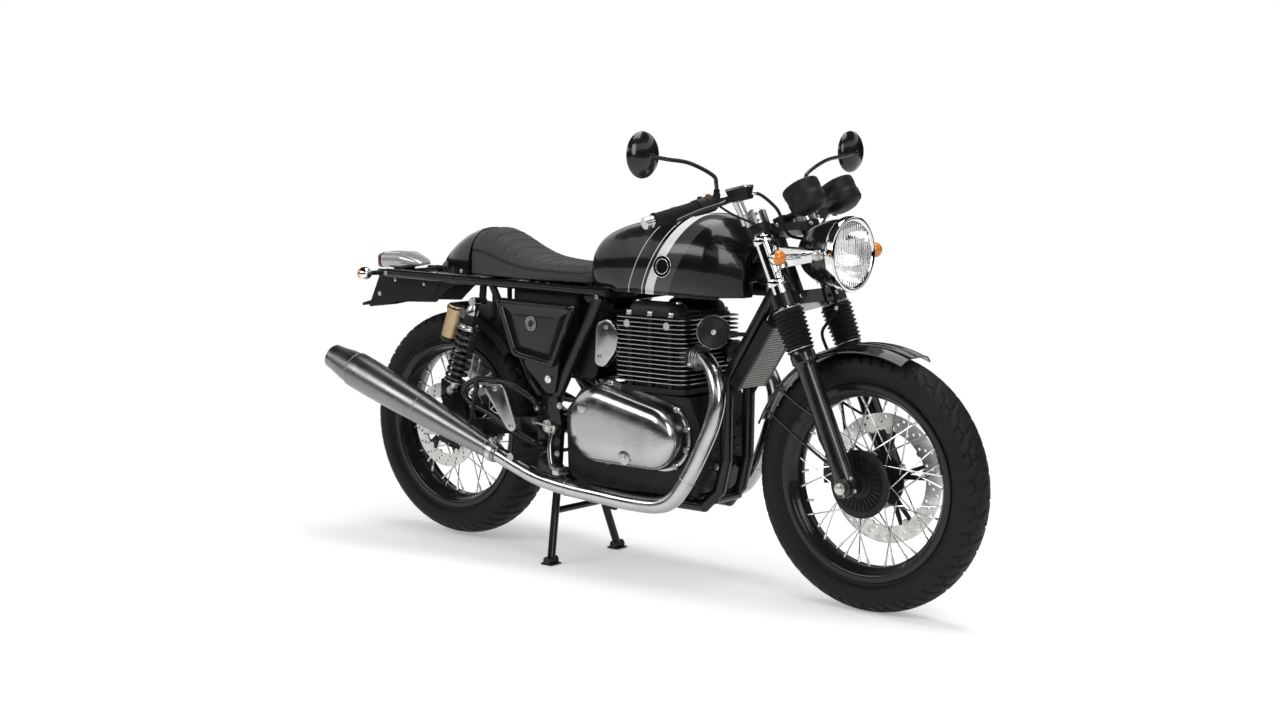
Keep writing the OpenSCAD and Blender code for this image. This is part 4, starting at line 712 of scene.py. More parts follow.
def domed_cover(side, depth):
    """Cover with a machined lip, a step, and a crowned face, from the case outwards."""
    levels = [(0, 0), (0, 5), (-1, 8), (-7, 9), (-7.5, 12), (-8, depth * 0.5), (-10, depth * 0.66),
              (-15, depth * 0.79), (-24, depth * 0.89), (-38, depth * 0.955), (-56, depth * 0.985),
              (-74, depth)]
    return skinned([[(x, side * (CASE_HALF + out), z) for x, z in cover_outline(grow)] for grow,
                    out in levels])


clutch = [domed_cover(-1, 84)]
alternator = [domed_cover(1, 76)]
screws = []
ring = cover_outline(-6.5, 60)
for s, parts in ((-1, clutch), (1, alternator)):
    for i in range(9):
        x, z = ring[int((i + 0.35) * len(ring) / 9) % len(ring)]
        parts.append(across(x, z, (s * CASE_HALF, s * 119, s * 122), [11.5, 10, 7.6], 20))
        screws += cap_screw((x, s * 121.5, z), (0, s, 0), 5.2, 5)
clutch.append(across(116, 332, (-188, -190.5, -191.5), [19, 19, 16], 40))
clutch.append(across(-28, 446, (-184, -191, -192), [17, 15, 12], 40))
screws += bolt((116, -191, 332), (0, -1, 0), 6, 4)
alternator.append(across(8, 404, (182, 185.5, 186.5), [46, 44, 41], 60))
screws.append(across(8, 404, (186.4, 188), 9, 24))
lid_edge = rounded([(-152, 292), (-152, 410), (-112, 448), (-58, 448), (-58, 292)], 18)
alternator.append(swept_outline(lid_edge, CASE_HALF, 138, 4))
make_piece("clutch_cover_dome", clutch, polished_alloy, stands_for=["clutch_cover"], crease=24)
make_piece("alternator_cover_dome", alternator, polished_alloy, stands_for=["alternator_cover"], crease=24)
for x, z in ((-140, 304), (-140, 400), (-74, 436)):
    screws += cap_screw((x, 137.5, z), (0, 1, 0), 5, 5)
make_piece("cover_screws", screws, zinc_bolt, bevel=0.3)
make_piece("starter_motors", starter, engine_black, crease=30)

# ---------------------------------------------------------------- cylinders and head
# Two cast barrels in one finned block: black-painted fins whose rims are machined bright. The
# head carries the same fins, two exhaust stubs and a smooth camshaft cover held by domed nuts.
fin_bright = worn_finish("fin_bright", (0.62, 0.61, 0.59), (0.3, 0.295, 0.285), 0.3, metallic=1.0,
                         spread=0.16, scale=35.0, amount=0.45, grain=400.0, height=0.00012)


def round_rect(x0, x1, half, r, steps=8):
    out = []
    for cx, cy, a0 in ((x1 - r, half - r, 0), (x0 + r, half - r, 90), (x0 + r, r - half, 180),
                       (x1 - r, r - half, 270)):
        for k in range(steps + 1):
            a = math.radians(a0 + 90 * k / steps)
            out.append((cx + r * math.cos(a), cy + r * math.sin(a)))
    return out


def flat_stack(levels):
    """Solid from outlines in plan, each at its own height."""
    return skinned([[(x, y, z) for x, y in outline] for outline, z in levels])


def fin_set(z0, z1, first):
    """Finned block between two heights, and the bright rims of its fins."""
    core = round_rect(35, 236, 105, 20)
    inner = round_rect(29, 242, 111, 24)
    outer = round_rect(15.6, 255.4, 124.4, 33.4)
    edge = round_rect(15, 256, 125, 34)
    small = round_rect(16.4, 254.6, 123.6, 32.6)
    fins = [flat_stack([(core, z0), (core, z1)])]
    rims = []
    z = z0 + first
    while z < z1 - 4:
        fins.append(flat_stack([(inner, z - 0.4), (outer, z + 0.3), (outer, z + 2.7), (inner, z + 3.4)]))
        rims.append(flat_stack([(small, z + 0.2), (edge, z + 0.7), (edge, z + 2.3), (small, z + 2.8)]))
        z += 11.5
    return fins, rims


barrel, barrel_rims = fin_set(494.3, 551.7, 26)
barrel.append(flat_stack([(round_rect(22, 250, 118, 30), z) for z in (494.3, 508)]))
head, head_rims = fin_set(552, 692, 4)
for s in SIDES:
    head.append(tube([(234, s * 80, 590), (256, s * 80, 590), (261.5, s * 80, 590)], [34, 31, 29], 36))
    for x in (70, 136, 202):
        head.append(tube([(x, s * 108, 555), (x, s * 108, 690)], 8, 12))
        barrel.append(tube([(x, s * 108, 500), (x, s * 108, 551)], 8, 12))
make_piece("barrel_fins", barrel, engine_black, "chassis", ["cylinder_block"], crease=40)
make_piece("head_fins", head, engine_black, "chassis", ["cylinder_head"], crease=40)
make_piece("fin_rims", barrel_rims + head_rims, fin_bright, crease=40)
LID_LEVELS = ((0, 690), (0, 702), (1, 703), (5, 712), (11, 719), (22, 723.5), (34, 724))
lid_parts = [flat_stack([(round_rect(60, 210, 60, 10), z) for z in (689, 699)])]
for s in SIDES:
    rings = []
    for shrink, z in LID_LEVELS:
        ring = round_rect(49 + shrink, 222 - shrink, 35 - shrink * 0.7, 30 - shrink * 0.7)
        rings.append(([(x, s * 76 + y) for x, y in ring], z))
    lid_parts.append(flat_stack(rings))
make_piece("camshaft_lids", lid_parts, engine_black, crease=30)
nuts = []
for s in SIDES:
    for x in (66, 136, 206):
        nuts += bolt((x, s * 111, 690), (0, 0, 1), 7, 12)
    for x in (70, 202):
        nuts.append(tube([(x, s * 76, z) for z in (722, 726, 728)], [9, 8, 4], 20))
        nuts.append(across(x, 668, (s * 122.4, s * 126.5), 10, 20))
    nuts += bolt((261, s * 80 + 28, 606), (1, 0, 0), 5, 10)
    nuts += bolt((261, s * 80 - 28, 574), (1, 0, 0), 5, 10)
make_piece("head_nuts", nuts, zinc_bolt, bevel=0.4)

# ---------------------------------------------------------------- intake
# Moulded airbox behind the head feeds two throttle bodies through rubber stubs with clamps. A
# polished side plate with two screws dresses each throttle body, and a moulded tray behind the
# airbox holds the battery out of sight.
soft_plastic = worn_finish("soft_plastic", (0.009, 0.009, 0.0095), (0.021, 0.021, 0.021), 0.5, scale=20.0,
                           grain=240.0, height=0.0003)
AXIS_Y = Vector((0, 1, 0))
box_outline = rounded([(-158, 500), (-152, 640), (-66, 694), (-66, 560), (-86, 500)], 20)
airbox = [swept_outline(box_outline, -74, 74, 9)]
for s in SIDES:
    airbox.append(tube([(x, s * 56, 632) for x in (-68, -50, -46, -42, -20)], [25, 25, 28, 25, 25], 32,
                       AXIS_Y))
make_piece("airbox", airbox, soft_plastic, "chassis", ["intake"], crease=30)
battery_outline = rounded([(-384, 650), (-384, 738), (-146, 738), (-146, 500), (-226, 500)], 16)
make_piece("battery_tray", [swept_outline(battery_outline, -76, 76, 9)], soft_plastic,
           crease=30)
throttle = []
clamps = []
plate_edge = rounded([(-64, 548), (-58, 660), (-12, 676), (22, 640), (14, 590), (-30, 540)], 18)
for s in SIDES:
    throttle.append(tube([(x, s * 56, 632) for x in (-30, -26, 4, 12, 15.5)], [24, 27, 27, 31, 31], 40,
                         AXIS_Y))
    throttle.append(swept_outline(plate_edge, s * 84, s * 104, 6))
    clamps.append(weld_ring((-48, s * 56, 632), (1, 0, 0), 25.8, 1.8))
    for x, z in ((-44, 572), (-20, 650)):
        clamps += cap_screw((x, s * 104, z), (0, s, 0), 5.2, 5)
make_piece("throttle_bodies", throttle, polished_alloy, crease=30)
make_piece("intake_clamps", clamps, zinc_bolt)

# ---------------------------------------------------------------- exhaust
# Two polished steel header pipes leave the head in finned collars, curve down past the cases and run
# back into upswept brushed stainless silencers: a long rolled cone, seam-welded, with an end cap.
chrome = worn_finish("chrome", (0.80, 0.80, 0.80), (0.62, 0.61, 0.6), 0.09, metallic=1.0, spread=0.1,
                     scale=16.0, amount=0.3, grain=60.0, height=0.00008)


def brushed_steel(name, color, along, roughness=0.3):
    """Stainless steel rubbed in one direction: short fine scratches, and faint handling marks."""
    material, tree, shader = new_finish(name, 1.0)
    add_patina(tree, shader, color, tuple(c * 0.72 for c in color), roughness, 0.12, 12.0, 0.4, 300.0, 0.0001)
    place = object_place(tree)
    dot = put(tree, "VectorMath", {0: place, 1: along}, operation="DOT_PRODUCT").outputs["Value"]
    lines = put(tree, "TexNoise", {"Vector": place, "Scale": 5.0, "Detail": 3.0,
                                   "W": math_node(tree, "MULTIPLY", dot, 340.0)}, noise_dimensions="4D")
    engrave(tree, shader, lines.outputs["Fac"], 0.00022)
    return material


pipe_run = [(262.3, 80, 590), (272, 80, 590), (304, 88, 584), (342, 106, 552), (362, 120, 495),
            (352, 130, 430), (324, 138, 360), (288, 146, 288), (248, 150, 236), (200, 153, 214),
            (120, 158, 211), (10, 165, 218), (-100, 170, 226), (-200, 175, 242), (-275, 181, 267),
            (-335, 187, 291)]
cone_run = Vector((-621, 37, 222)).normalized()
cone_start = Vector((-335, 187, 291)) + cone_run * 0.3
pipe_points = smooth_path(pipe_run[:-1] + [tuple(Vector(pipe_run[-1]) - cone_run * 14), pipe_run[-1]], 7)


def cone_at(distance):
    return cone_start + cone_run * distance


def silencer_lathe(profile, steps=72):
    """Surface turned about the silencer's own line; the profile is (distance along it, radius)."""
    return tube([cone_at(d) for d, r in profile], [max(r, 0.5) for d, r in profile], steps)


collar = []
for k in range(4):
    x = 263.5 + k * 6
    drift = max(0, k - 1)
    collar.append(tube([(x, 80 + drift * 0.7, 590), (x + 3, 80 + drift * 0.8, 590 - max(0, k - 2) * 0.4)],
                       33 - k * 1.3, 40))
seams = [weld_ring(pipe_points[i], pipe_points[i + 1] - pipe_points[i - 1], 21.7, 1.3,
                   60) for i in (49, 84, 101)]
pipe_steel = worn_finish("pipe_steel", (0.50, 0.49, 0.48), (0.36, 0.355, 0.35), 0.22, metallic=1.0,
                         spread=0.14, scale=20.0, amount=0.4, grain=260.0, height=0.00008)
make_piece("header_pipes", both_sides([tube(pipe_points, 21.5, 32)]), pipe_steel, "chassis",
           ["exhaust_pipes"], crease=60)
make_piece("header_collars", both_sides(collar), cast_alloy, bevel=0.4)
seam_steel = brushed_steel("seam_steel", (0.6, 0.59, 0.57), (0, 0, 1))
make_piece("header_seams", both_sides(seams), seam_steel, crease=80)
cone = [(0, 24.5), (3, 25.2), (34, 25.6), (38, 25.2), (40, 25.4), (90, 29.3), (190, 36.6), (285, 42.4),
        (380, 46.9), (440, 49.2), (500, 50.8), (540, 51), (560, 50.9), (566, 50.2), (569, 48.8)]
cap = [(569, 46.6), (571, 47.6), (600, 44.8), (640, 37.4), (658, 35.4), (663, 35), (664, 34), (662, 32.5),
       (650, 32), (640, 31), (620, 30), (604, 26), (604, 1)]
cone_steel = [brushed_steel("silencer_steel_" + label, (0.27, 0.266, 0.262),
                            (cone_run.x, cone_run.y * s, cone_run.z), 0.33) for label,
              s in (("left", 1), ("right", -1))]
silencer = [silencer_lathe(cone), silencer_lathe(cap)]
make_piece("silencer_left", silencer, cone_steel[0], "chassis", ["silencers"], crease=30)
make_piece("silencer_right", [mirrored(p) for p in silencer], cone_steel[1], crease=30)
rings = [weld_ring(cone_at(d), cone_run, r, wire, count) for d, r, wire,
         count in ((41, 25.6, 1.3, 60), (300, 43.2, 1.2, 90), (567, 49.4, 1.5, 90))]
dull_seam = brushed_steel("dull_seam", (0.42, 0.41, 0.4), (0, 0, 1), 0.4)
make_piece("silencer_seams", both_sides(rings), dull_seam, crease=80)
clamps = [silencer_lathe([(10, 25.4), (11, 28), (25, 28.4), (26, 25.8)], 48)]
lug = cone_at(18)
clamps.append(tube([lug + UP * 24, lug + UP * 38], 5, 10))
for s in SIDES:
    clamps += bolt(lug + Vector((0, s * 9, 33)), (0, s, 0), 5, 5)
make_piece("silencer_clamps", both_sides(clamps), zinc_bolt, crease=35)
mount = cone_at(120)
strap = [tube([mount + Vector((0, -12, 26)), mount + Vector((2, -14, 50)), (-430, 180, 440),
               (-420, 178, 470)], 5, 10)]
strap += bolt((-420, 184, 472), (0, 1, 0), 8, 6)
make_piece("silencer_hangers", both_sides(strap), hub_black)

# ---------------------------------------------------------------- fuel tank
# Pressed and seam-welded steel tank over the backbone, gloss black under clear lacquer, with
# knee recesses behind, a folded seam lip at the bottom, and a raked band of painted stripes.
stations = [(0, 0.6, 0.5, 2.4), (0.02, 0.66, 0.62, 2.5), (0.06, 0.72, 0.71, 2.5), (0.12, 0.76, 0.775, 2.5),
            (0.2, 0.8, 0.835, 2.5), (0.3, 0.84, 0.885, 2.5), (0.4, 0.91, 0.925, 2.4), (0.5, 0.97, 0.96, 2.4),
            (0.62, 1, 0.99, 2.4), (0.74, 1, 1, 2.4), (0.84, 0.97, 0.95, 2.5), (0.9, 0.84, 0.86, 2.6),
            (0.95, 0.66, 0.76, 2.6), (1, 0.46, 0.64, 2.4)]


def eased(table, t):
    """Values of a table of stations at t, on a smooth curve through them."""
    for i in range(len(table) - 1):
        if t <= table[i + 1][0] or i == len(table) - 2:
            break
    a, b = table[i], table[i + 1]
    before = table[i - 1] if i else None
    after = table[i + 2] if i + 2 < len(table) else None
    step = b[0] - a[0]
    u = min(1.0, max(0.0, (t - a[0]) / step))
    out = []
    for k in range(1, len(a)):
        d = (b[k] - a[k]) / step
        d0 = d if before is None else (a[k] - before[k]) / (a[0] - before[0])
        d1 = d if after is None else (after[k] - b[k]) / (after[0] - b[0])
        m0 = 0.0 if d0 * d <= 0 else 2 * d0 * d / (d0 + d)
        m1 = 0.0 if d1 * d <= 0 else 2 * d1 * d / (d1 + d)
        if before is None:
            m0 = d
        if after is None:
            m1 = d
        out.append((2 * u ** 3 - 3 * u * u + 1) * a[k] + (u ** 3 - 2 * u * u + u) * step * m0
                   + (3 * u * u - 2 * u ** 3) * b[k] + (u ** 3 - u * u) * step * m1)
    return out


def tank_section(t, steps=26):
    half_share, top_share, square = eased(stations, t)
    x = -88 + 486 * t
    half = half_share * 138
    rise = max(0.0, min(1.0, (14 - x) / 34))
    base = 746.0 + 5.6 * rise * rise * (3 - 2 * rise)
    top = 746 + 206 * top_share
    mid = base + (top - base) * 0.32
    tunnel = max(818 + (x - 474) * 96 / 569 + 28, base + 1)
    side = [(half * 0.86 - 1.0, base), (half * 0.86 + 3, base - 0.2), (half * 0.86 + 3, base + 3.2),
            (half * 0.9, base + 4.6), (half * 0.955, base + (mid - base) * 0.3),
            (half * 0.985, base + (mid - base) * 0.62)]
    for k in range(steps + 1):
        a = math.radians(90 * k / steps)
        side.append((half * math.cos(a) ** (2 / square) if k < steps else 0.0,
                     mid + (top - mid) * math.sin(a) ** (2 / square)))
    right = [(x, -y, z) for y, z in side]
    left = [(x, y, z) for y, z in reversed(side[:-1])]
    return [(x, -30, tunnel), (x, -30, base)] + right + left + [(x, 30, base), (x, 30, tunnel)]


def stripe(tree, place, low, high):
    """1 inside a painted line, 0 outside, with an edge as sharp as masking tape leaves it."""
    up = math_node(tree, "MULTIPLY", math_node(tree, "SUBTRACT", place, low), 2500.0, clamp=True)
    down = math_node(tree, "MULTIPLY", math_node(tree, "SUBTRACT", high, place), 2500.0, clamp=True)
    return math_node(tree, "MULTIPLY", up, down)


lacquer = worn_finish("lacquer", (0.005, 0.005, 0.0055), (0.01, 0.01, 0.0105), 0.22, coat=0.45, spread=0.08,
                      scale=7.0, amount=0.3, grain=90.0, height=0.00005)
tank_paint, tree, shader = new_finish("tank_paint", coat=0.42, coat_roughness=0.03, specular=0.2)
colour = add_patina(tree, shader, (0.005, 0.005, 0.0055), (0.009, 0.009, 0.0095), 0.24, 0.06, 7.0, 0.3, 90.0,
                    0.00005)
axes = put(tree, "SeparateXYZ", {0: object_place(tree)}).outputs
lean = math_node(tree, "MULTIPLY", math_node(tree, "SUBTRACT", axes[2], 0.745), 0.57)
rake = math_node(tree, "SUBTRACT", axes[0], lean)
for low, high, paint in ((0.052, 0.0565, (0.42, 0.42, 0.41, 1)), (0.105, 0.1085, (0.72, 0.72, 0.71, 1)),
                         (0.120, 0.152, (0.74, 0.735, 0.72, 1)), (0.152, 0.204, (0.05, 0.046, 0.048, 1))):
    colour = mix_colour(tree, stripe(tree, rake, low, high), colour, paint)
tree.links.new(colour, shader.inputs["Base Color"])
rings = [tank_section(k / 150) for k in range(151)]
rings.append([(400.2, y * 0.94, 746 + (z - 746) * 0.95 + 3) for x, y, z in rings[-1]])
make_piece("tank_shell", [skinned(rings)], tank_paint, "chassis", ["fuel_tank"], crease=38)
cap_z = 950.94
pin_z = cap_z + 4.8


def upright(profile, steps=40):
    """Surface turned about Z: the profile is (radius, height)."""
    return placed(lathe(profile, steps), Matrix.Rotation(math.radians(90), 4, "X"))


def box(xs, ys, zs):
    """Block between these pairs of values."""
    return skinned([[(x, ys[0], zs[0]), (x, ys[1], zs[0]), (x, ys[1], zs[1]), (x, ys[0], zs[1])] for x in xs])


NECK_PROFILE = [(26, -7), (43, -7), (43, 0), (43, 0), (43, 14), (42, 16.6), (38, 17), (35, 15.4), (26, 15.4)]
neck = [shifted(upright(NECK_PROFILE, 72), 150, 0, cap_z - 17)]
for s in SIDES:
    neck.append(box((185, 195), (s * 10, s * 16), (cap_z - 3, cap_z + 7)))
    neck.append(across(190, pin_z, (s * 10, s * 16.4), 5, 20))
make_piece("filler_neck", neck, chrome, crease=30)
badge = []
badge_rings = []
for s in SIDES:
    out = Vector((0.03, s * 0.995, 0.1))
    at = Vector((198, s * 135.5, 820))
    badge.append(tube([at, at + out * 3, at + out * 4], [29, 29, 27.5], 60))
    badge_rings += [weld_ring(at + out * 3.6, (0.03, s, 0.1), r, 0.9, 60) for r in (27.6, 19)]
make_piece("tank_roundels", badge, lacquer, crease=30)
make_piece("tank_roundel_rings", badge_rings, chrome, crease=80)

# ---------------------------------------------------------------- filler cap
# Hinged aircraft-style filler cap: a turned and polished flange with six socket screws, a
# raised lid with a thumb latch, and a knuckle on the tank's hinge pin.
LID_PROFILE = [(0.5, 0), (33, 0), (34, 1), (34, 5), (33, 7), (31, 7.4), (30, 7), (29.4, 10.6), (26, 12),
               (20, 12.3), (19, 11.4), (0.5, 11.4)]
cap_parts = [shifted(upright(LID_PROFILE, 72), 150, 0, cap_z + 0.3)]
cap_parts.append(across(190, pin_z, (-9.5, 9.5), 4.2, 20))
cap_parts.append(across(190, pin_z, (-17, 17), 2))
knuckle = ((178, -9, 7), (190, -9, 7.5), (190, 9, 7.5), (178, 9, 7))
cap_parts.append(skinned([[(x, y, cap_z + 2) for x, y, h in knuckle], [(x, y, cap_z + h) for x, y,
                                                                       h in knuckle]]))
for k in range(6):
    a = math.radians(60 * k + 30)
    cap_parts += cap_screw((150 + 31.6 * math.cos(a), 31.6 * math.sin(a), cap_z + 7), (0, 0, 1), 1.7, 1.4)
make_piece("filler_lid", cap_parts, polished_alloy, "cap_lid", stands_for=["fuel_cap"], crease=30)
thumb = ((128, -6, 13.2), (152, -8, 13.6), (152, 8, 13.6), (128, 6, 13.2))
latch = [skinned([[(x, y, cap_z + 11.6) for x, y, h in thumb],
                  [(x, y - (1 if y > 0 else -1), cap_z + h) for x, y, h in thumb]])]
latch.append(tube([(156, 0, cap_z + 11.4), (156, 0, cap_z + 13.6)], 7, 24))
make_piece("filler_latch", latch, zinc_bolt, "cap_lid", bevel=0.4)

# ---------------------------------------------------------------- seat
# Single seat of moulded foam under grained vinyl, pulled over a flat base: low and wide in the
# middle, sweeping up to a padded hump. Ribs are sewn across it and piping runs round its edge.
seat_table = [(0, 0.66, -6), (0.045, 0.74, -2), (0.17, 0.86, 0), (0.34, 0.97, 3), (0.48, 1, 9), (0.59, 1, 20),
              (0.7, 0.99, 40), (0.79, 0.97, 61), (0.87, 0.95, 78), (0.94, 0.93, 86), (1, 0.9, 84)]


def seat_foot(x):
    return rail_z(x) + 12.4


def seat_at(x):
    """Half width, lower line and top of the seat at a place along the machine."""
    half_share, rise = eased(seat_table, (-92 - x) / 440)
    return half_share * 112, seat_foot(x) + 10, 806 + rise * 87 / 86


def seat_section(t, shrink, steps=16):
    x = -92 - 440 * t
    half, low, top = seat_at(x)
    half -= shrink
    top -= shrink
    low += 0.6 + shrink
    side = [(half * 0.6, low - 10), (half * 0.95, low - 10), (half, low - 7.5)]
    for k in range(steps + 1):
        a = math.radians(90 * k / steps)
        y = half * math.cos(a) ** (2 / 3) if k < steps else 0.0
        side.append((y, low + (top - low) * math.sin(a) ** (2 / 3)))
    return [(x, -y, z) for y, z in side] + [(x, y, z) for y, z in reversed(side[:-1])]


vinyl, tree, shader = new_finish("seat_vinyl", specular=0.42)
add_patina(tree, shader, (0.030, 0.030, 0.031), (0.052, 0.051, 0.05), 0.5, 0.16, 14.0, 0.5, 300.0, 0.0001)
pores = put(tree, "TexVoronoi", {"Scale": 420.0, "Vector": object_place(tree)}, feature="DISTANCE_TO_EDGE")
depth = math_node(tree, "MULTIPLY", pores.outputs["Distance"], 4.0)
engrave(tree, shader, math_node(tree, "MINIMUM", depth, 1.0), 0.0006, 0.8)
FOAM_SWELL = 0.0056
foam = [seat_section(k / 60, 5.0) for k in range(61)]
seat = make_piece("seat_pad", [skinned(foam)], vinyl, "chassis", ["seat"], crease=180)
# The foam pushes the cover out as it sets: cloth under pressure from a slightly smaller form
bpy.ops.object.select_all(action="DESELECT")
bpy.context.view_layer.objects.active = seat
seat.select_set(True)
mesher = seat.modifiers.new("even mesh", "REMESH")
mesher.mode = "VOXEL"
mesher.voxel_size = 0.0055
bpy.ops.object.modifier_apply(modifier=mesher.name)
start = [v.co.copy() for v in seat.data.vertices]
normals = [v.normal.copy() for v in seat.data.vertices]
cloth = seat.modifiers.new("foam", "CLOTH")
cloth.settings.use_pressure = True
cloth.settings.uniform_pressure_force = 4.0
cloth.settings.effector_weights.gravity = 0.0
cloth.settings.quality = 5
for number in range(1, 21):
    bpy.context.scene.frame_set(number)
settled = seat.evaluated_get(bpy.context.evaluated_depsgraph_get())
swollen = [v.co.copy() for v in settled.data.vertices]
seat.modifiers.remove(cloth)
for vert, rest, blown, normal in zip(seat.data.vertices, start, swollen, normals):
    move = blown - rest
    if move.length > FOAM_SWELL:
        move = move * (FOAM_SWELL / move.length)
    free = max(0.0, min(1.0, (rest.z - (seat_foot(rest.x * 1000) * 0.001 + 0.008)) / 0.012))
    vert.co = rest + move * free
bpy.context.scene.frame_set(1)

# Sewn channels: narrow valleys across the riding face, at even steps up the hump
channel_marks = [-140 - 40 * k for k in range(10)]
dense = seat.modifiers.new("finer", "SUBSURF")
dense.levels = 1
dense.render_levels = dense.levels
bpy.context.view_layer.objects.active = seat
seat.select_set(True)
bpy.ops.object.modifier_apply(modifier=dense.name)
outward = [vert.normal.copy() for vert in seat.data.vertices]
for vert, normal in zip(seat.data.vertices, outward):
    x, y, z = vert.co * 1000
    half, low, top = seat_at(x)
    up = (z - low) / (top - low)
    high = max(0.0, min(1.0, (up - 0.62) / 0.2))
    bow = x - 10 * (y / half) ** 2
    gap = min(abs(bow - mark) for mark in channel_marks)
    dip = 3.4 * math.exp(-(gap / 4.2) ** 2) * high
    between = gap <= 20 and channel_marks[-1] - 20 < bow < channel_marks[0] + 20
    swell = 1.4 * math.cos(math.pi * gap / 40) * high if between else 0.0
    seam = 2.4 * math.exp(-((up - 0.5) * (top - low) / 2.6) ** 2) if abs(y) > half * 0.6 else 0.0
    vert.co = vert.co + normal * ((swell - dip - seam) * 0.001)
seat.data.update()
piping = []
for s in SIDES:
    route = []
    for k in range(3, 58):
        x = -92 - 440 * k / 60
        half, low, top = seat_at(x)
        route.append((x, s * (half * 0.875 ** (1 / 3) + 0.2), (low + top) / 2 + 0.6))
    piping.append(tube(route, 2.1, 8))
piping_vinyl = worn_finish("piping_vinyl", (0.014, 0.014, 0.014), (0.03, 0.03, 0.03), 0.4, grain=500.0)
make_piece("seat_piping", piping, piping_vinyl, crease=80)
stitches = []
for mark in channel_marks:
    half = seat_at(mark)[0]
    for k in range(-17, 18):
        y = k * 4.6
        if abs(y) <= half * 0.74:
            x = mark + 10 * (y / half) ** 2
            wide, low, top = seat_at(x)
            z = low + (top - low) * (1 - abs(y / wide) ** 3) ** (1 / 3) - 2.4
            stitches.append(tube([(x, y - 1.4, z), (x, y, z + 0.7), (x, y + 1.4, z)], 0.5, 5))
thread = worn_finish("thread", (0.05, 0.05, 0.05), (0.09, 0.09, 0.09), 0.6, grain=900.0)
make_piece("seat_stitches", stitches, thread, crease=80)

# ---------------------------------------------------------------- seat cowl
# Moulded hump cover behind the seat, gloss black like the tank, screwed to the rails. Its front
# edge butts against the seat cover in a fine joint and its tail falls to a rounded point.
cowl_table = [(0, 0.9, 0.98), (0.15, 0.88, 0.93), (0.3, 0.85, 0.85), (0.45, 0.8, 0.73), (0.6, 0.72, 0.58),
              (0.75, 0.6, 0.41), (0.9, 0.42, 0.22), (1, 0.22, 0.1)]


def cowl_section(t, steps=18):
    half_share, high_share = eased(cowl_table, t)
    x = -532.3 - 167.7 * t
    half = half_share * 112
    foot = seat_foot(x)
    base = foot + 12
    top = foot + 14 + (893 - foot - 14) * high_share
    side = [(half - 2, foot + 0.6), (half, foot + 2.6), (half, base)]
    for k in range(1, steps + 1):
        a = math.radians(90 * k / steps)
        y = half * math.cos(a) ** (2 / 2.4) if k < steps else 0.0
        side.append((y, base + (top - base) * math.sin(a) ** (2 / 2.4)))
    return [(x, -y, z) for y, z in side] + [(x, y, z) for y, z in reversed(side[:-1])]


hump = skinned([cowl_section(k / 48) for k in range(49)])
make_piece("hump_cover", [hump], lacquer, "chassis", ["seat_cowl"], crease=38)
cowl_screws = []
for s in SIDES:
    cowl_screws += cap_screw((-560, s * 98.6, 771), (0, s, 0.1), 5, 3)
make_piece("hump_cover_screws", cowl_screws, zinc_bolt)

# ---------------------------------------------------------------- side panels
# Four-cornered covers of moulded plastic below the seat, gloss black, with a bevelled border
# round a slightly sunk field; a plain plate below each carries a lock with a bright bezel.


PANEL_EDGE = ((-398, 708), (-104, 702), (-184, 530), (-334, 552))
PANEL_LEVELS = ((0.0, 114.4), (0.0, 126), (0.006, 129), (0.035, 135), (0.05, 136), (0.13, 136),
                (0.145, 134.6), (0.165, 131), (0.19, 130), (0.5, 131.5))


def panel_loop(shrink, y, cx=-252, cz=625):
    """The panel's edge drawn in towards its middle by a share, at its distance from the machine's."""
    k = 1 - shrink
    return [(x, y, z) for x, z in rounded([(cx + (x - cx) * k, cz + (z - cz) * k) for x, z in PANEL_EDGE],
                                          16 * k)]


panel = [skinned([panel_loop(*level) for level in PANEL_LEVELS])]
low_plate = rounded([(-304, 566), (-168, 566), (-178, 500), (-186, 462), (-216, 462), (-292, 528)], 9, 4)
panel.append(skinned([[(x, y, z) for x, z in low_plate] for y in (114.4, 122, 123.4)]))
make_piece("side_covers", both_sides(panel), lacquer, "chassis", ["side_panels"], crease=30)
lock = [across(-206, 500, (y0, y1 - 1, y1), [r, r, r - 1.2], 32) for r, y0,
        y1 in ((11, 122, 129.6), (7, 129.6, 130.8))]
lock.append(tube([(-206, 130.6, 496), (-206, 130.6, 504)], 0.9, 6))
make_piece("panel_locks", both_sides(lock), chrome, crease=30)
roundel = across(-262, 646, (130.4, 134, 135), [19, 19, 17.6], 48)
make_piece("panel_roundels", both_sides([roundel]), lacquer, crease=30)
roundel_rings = [weld_ring((-262, 134.6, 646), (0, 1, 0), r, 0.8, 60) for r in (18, 12)]
make_piece("panel_roundel_rings", both_sides(roundel_rings), chrome, crease=80)

# ---------------------------------------------------------------- oil cooler and horn
# Small oil radiator in front of the down tubes: rows of flat tubes with folded fins between two
# tanks, behind a pressed mesh guard. The horn beside it is a black disc with pressed rings.
cooler_up = Vector((160, 0, 245)).normalized()
cooler_out = Vector((cooler_up.z, 0, -cooler_up.x))
cooler_base = Vector((335, 0, 536)) + cooler_up * 8 + cooler_out * 17.1
on_cooler = Matrix.Translation(cooler_base) @ Matrix((cooler_out, AXIS_Y, cooler_up)).transposed().to_4x4()
core = []
for k in range(24):
    h = 6 + k * 7.7
    core.append(box((2, 28), (-50, 50), (h, h + 2.2)))
for k in range(34):
    y = -49.5 + 3.0 * k
    core.append(box((6, 25), (y, y + 0.5), (2, 188)))
mesh_wires = [tube([(29.6, -48 + 8 * k, h) for h in (0, 189)], 0.9, 6) for k in range(13)]
mesh_wires += [tube([(29.4, y, 2 + k * 8) for y in (-50, 50)], 0.9, 6) for k in range(24)]
cooler_alloy = worn_finish("cooler_alloy", (0.03, 0.03, 0.03), (0.08, 0.08, 0.08), 0.45, metallic=0.4,
                           scale=50.0, grain=400.0)
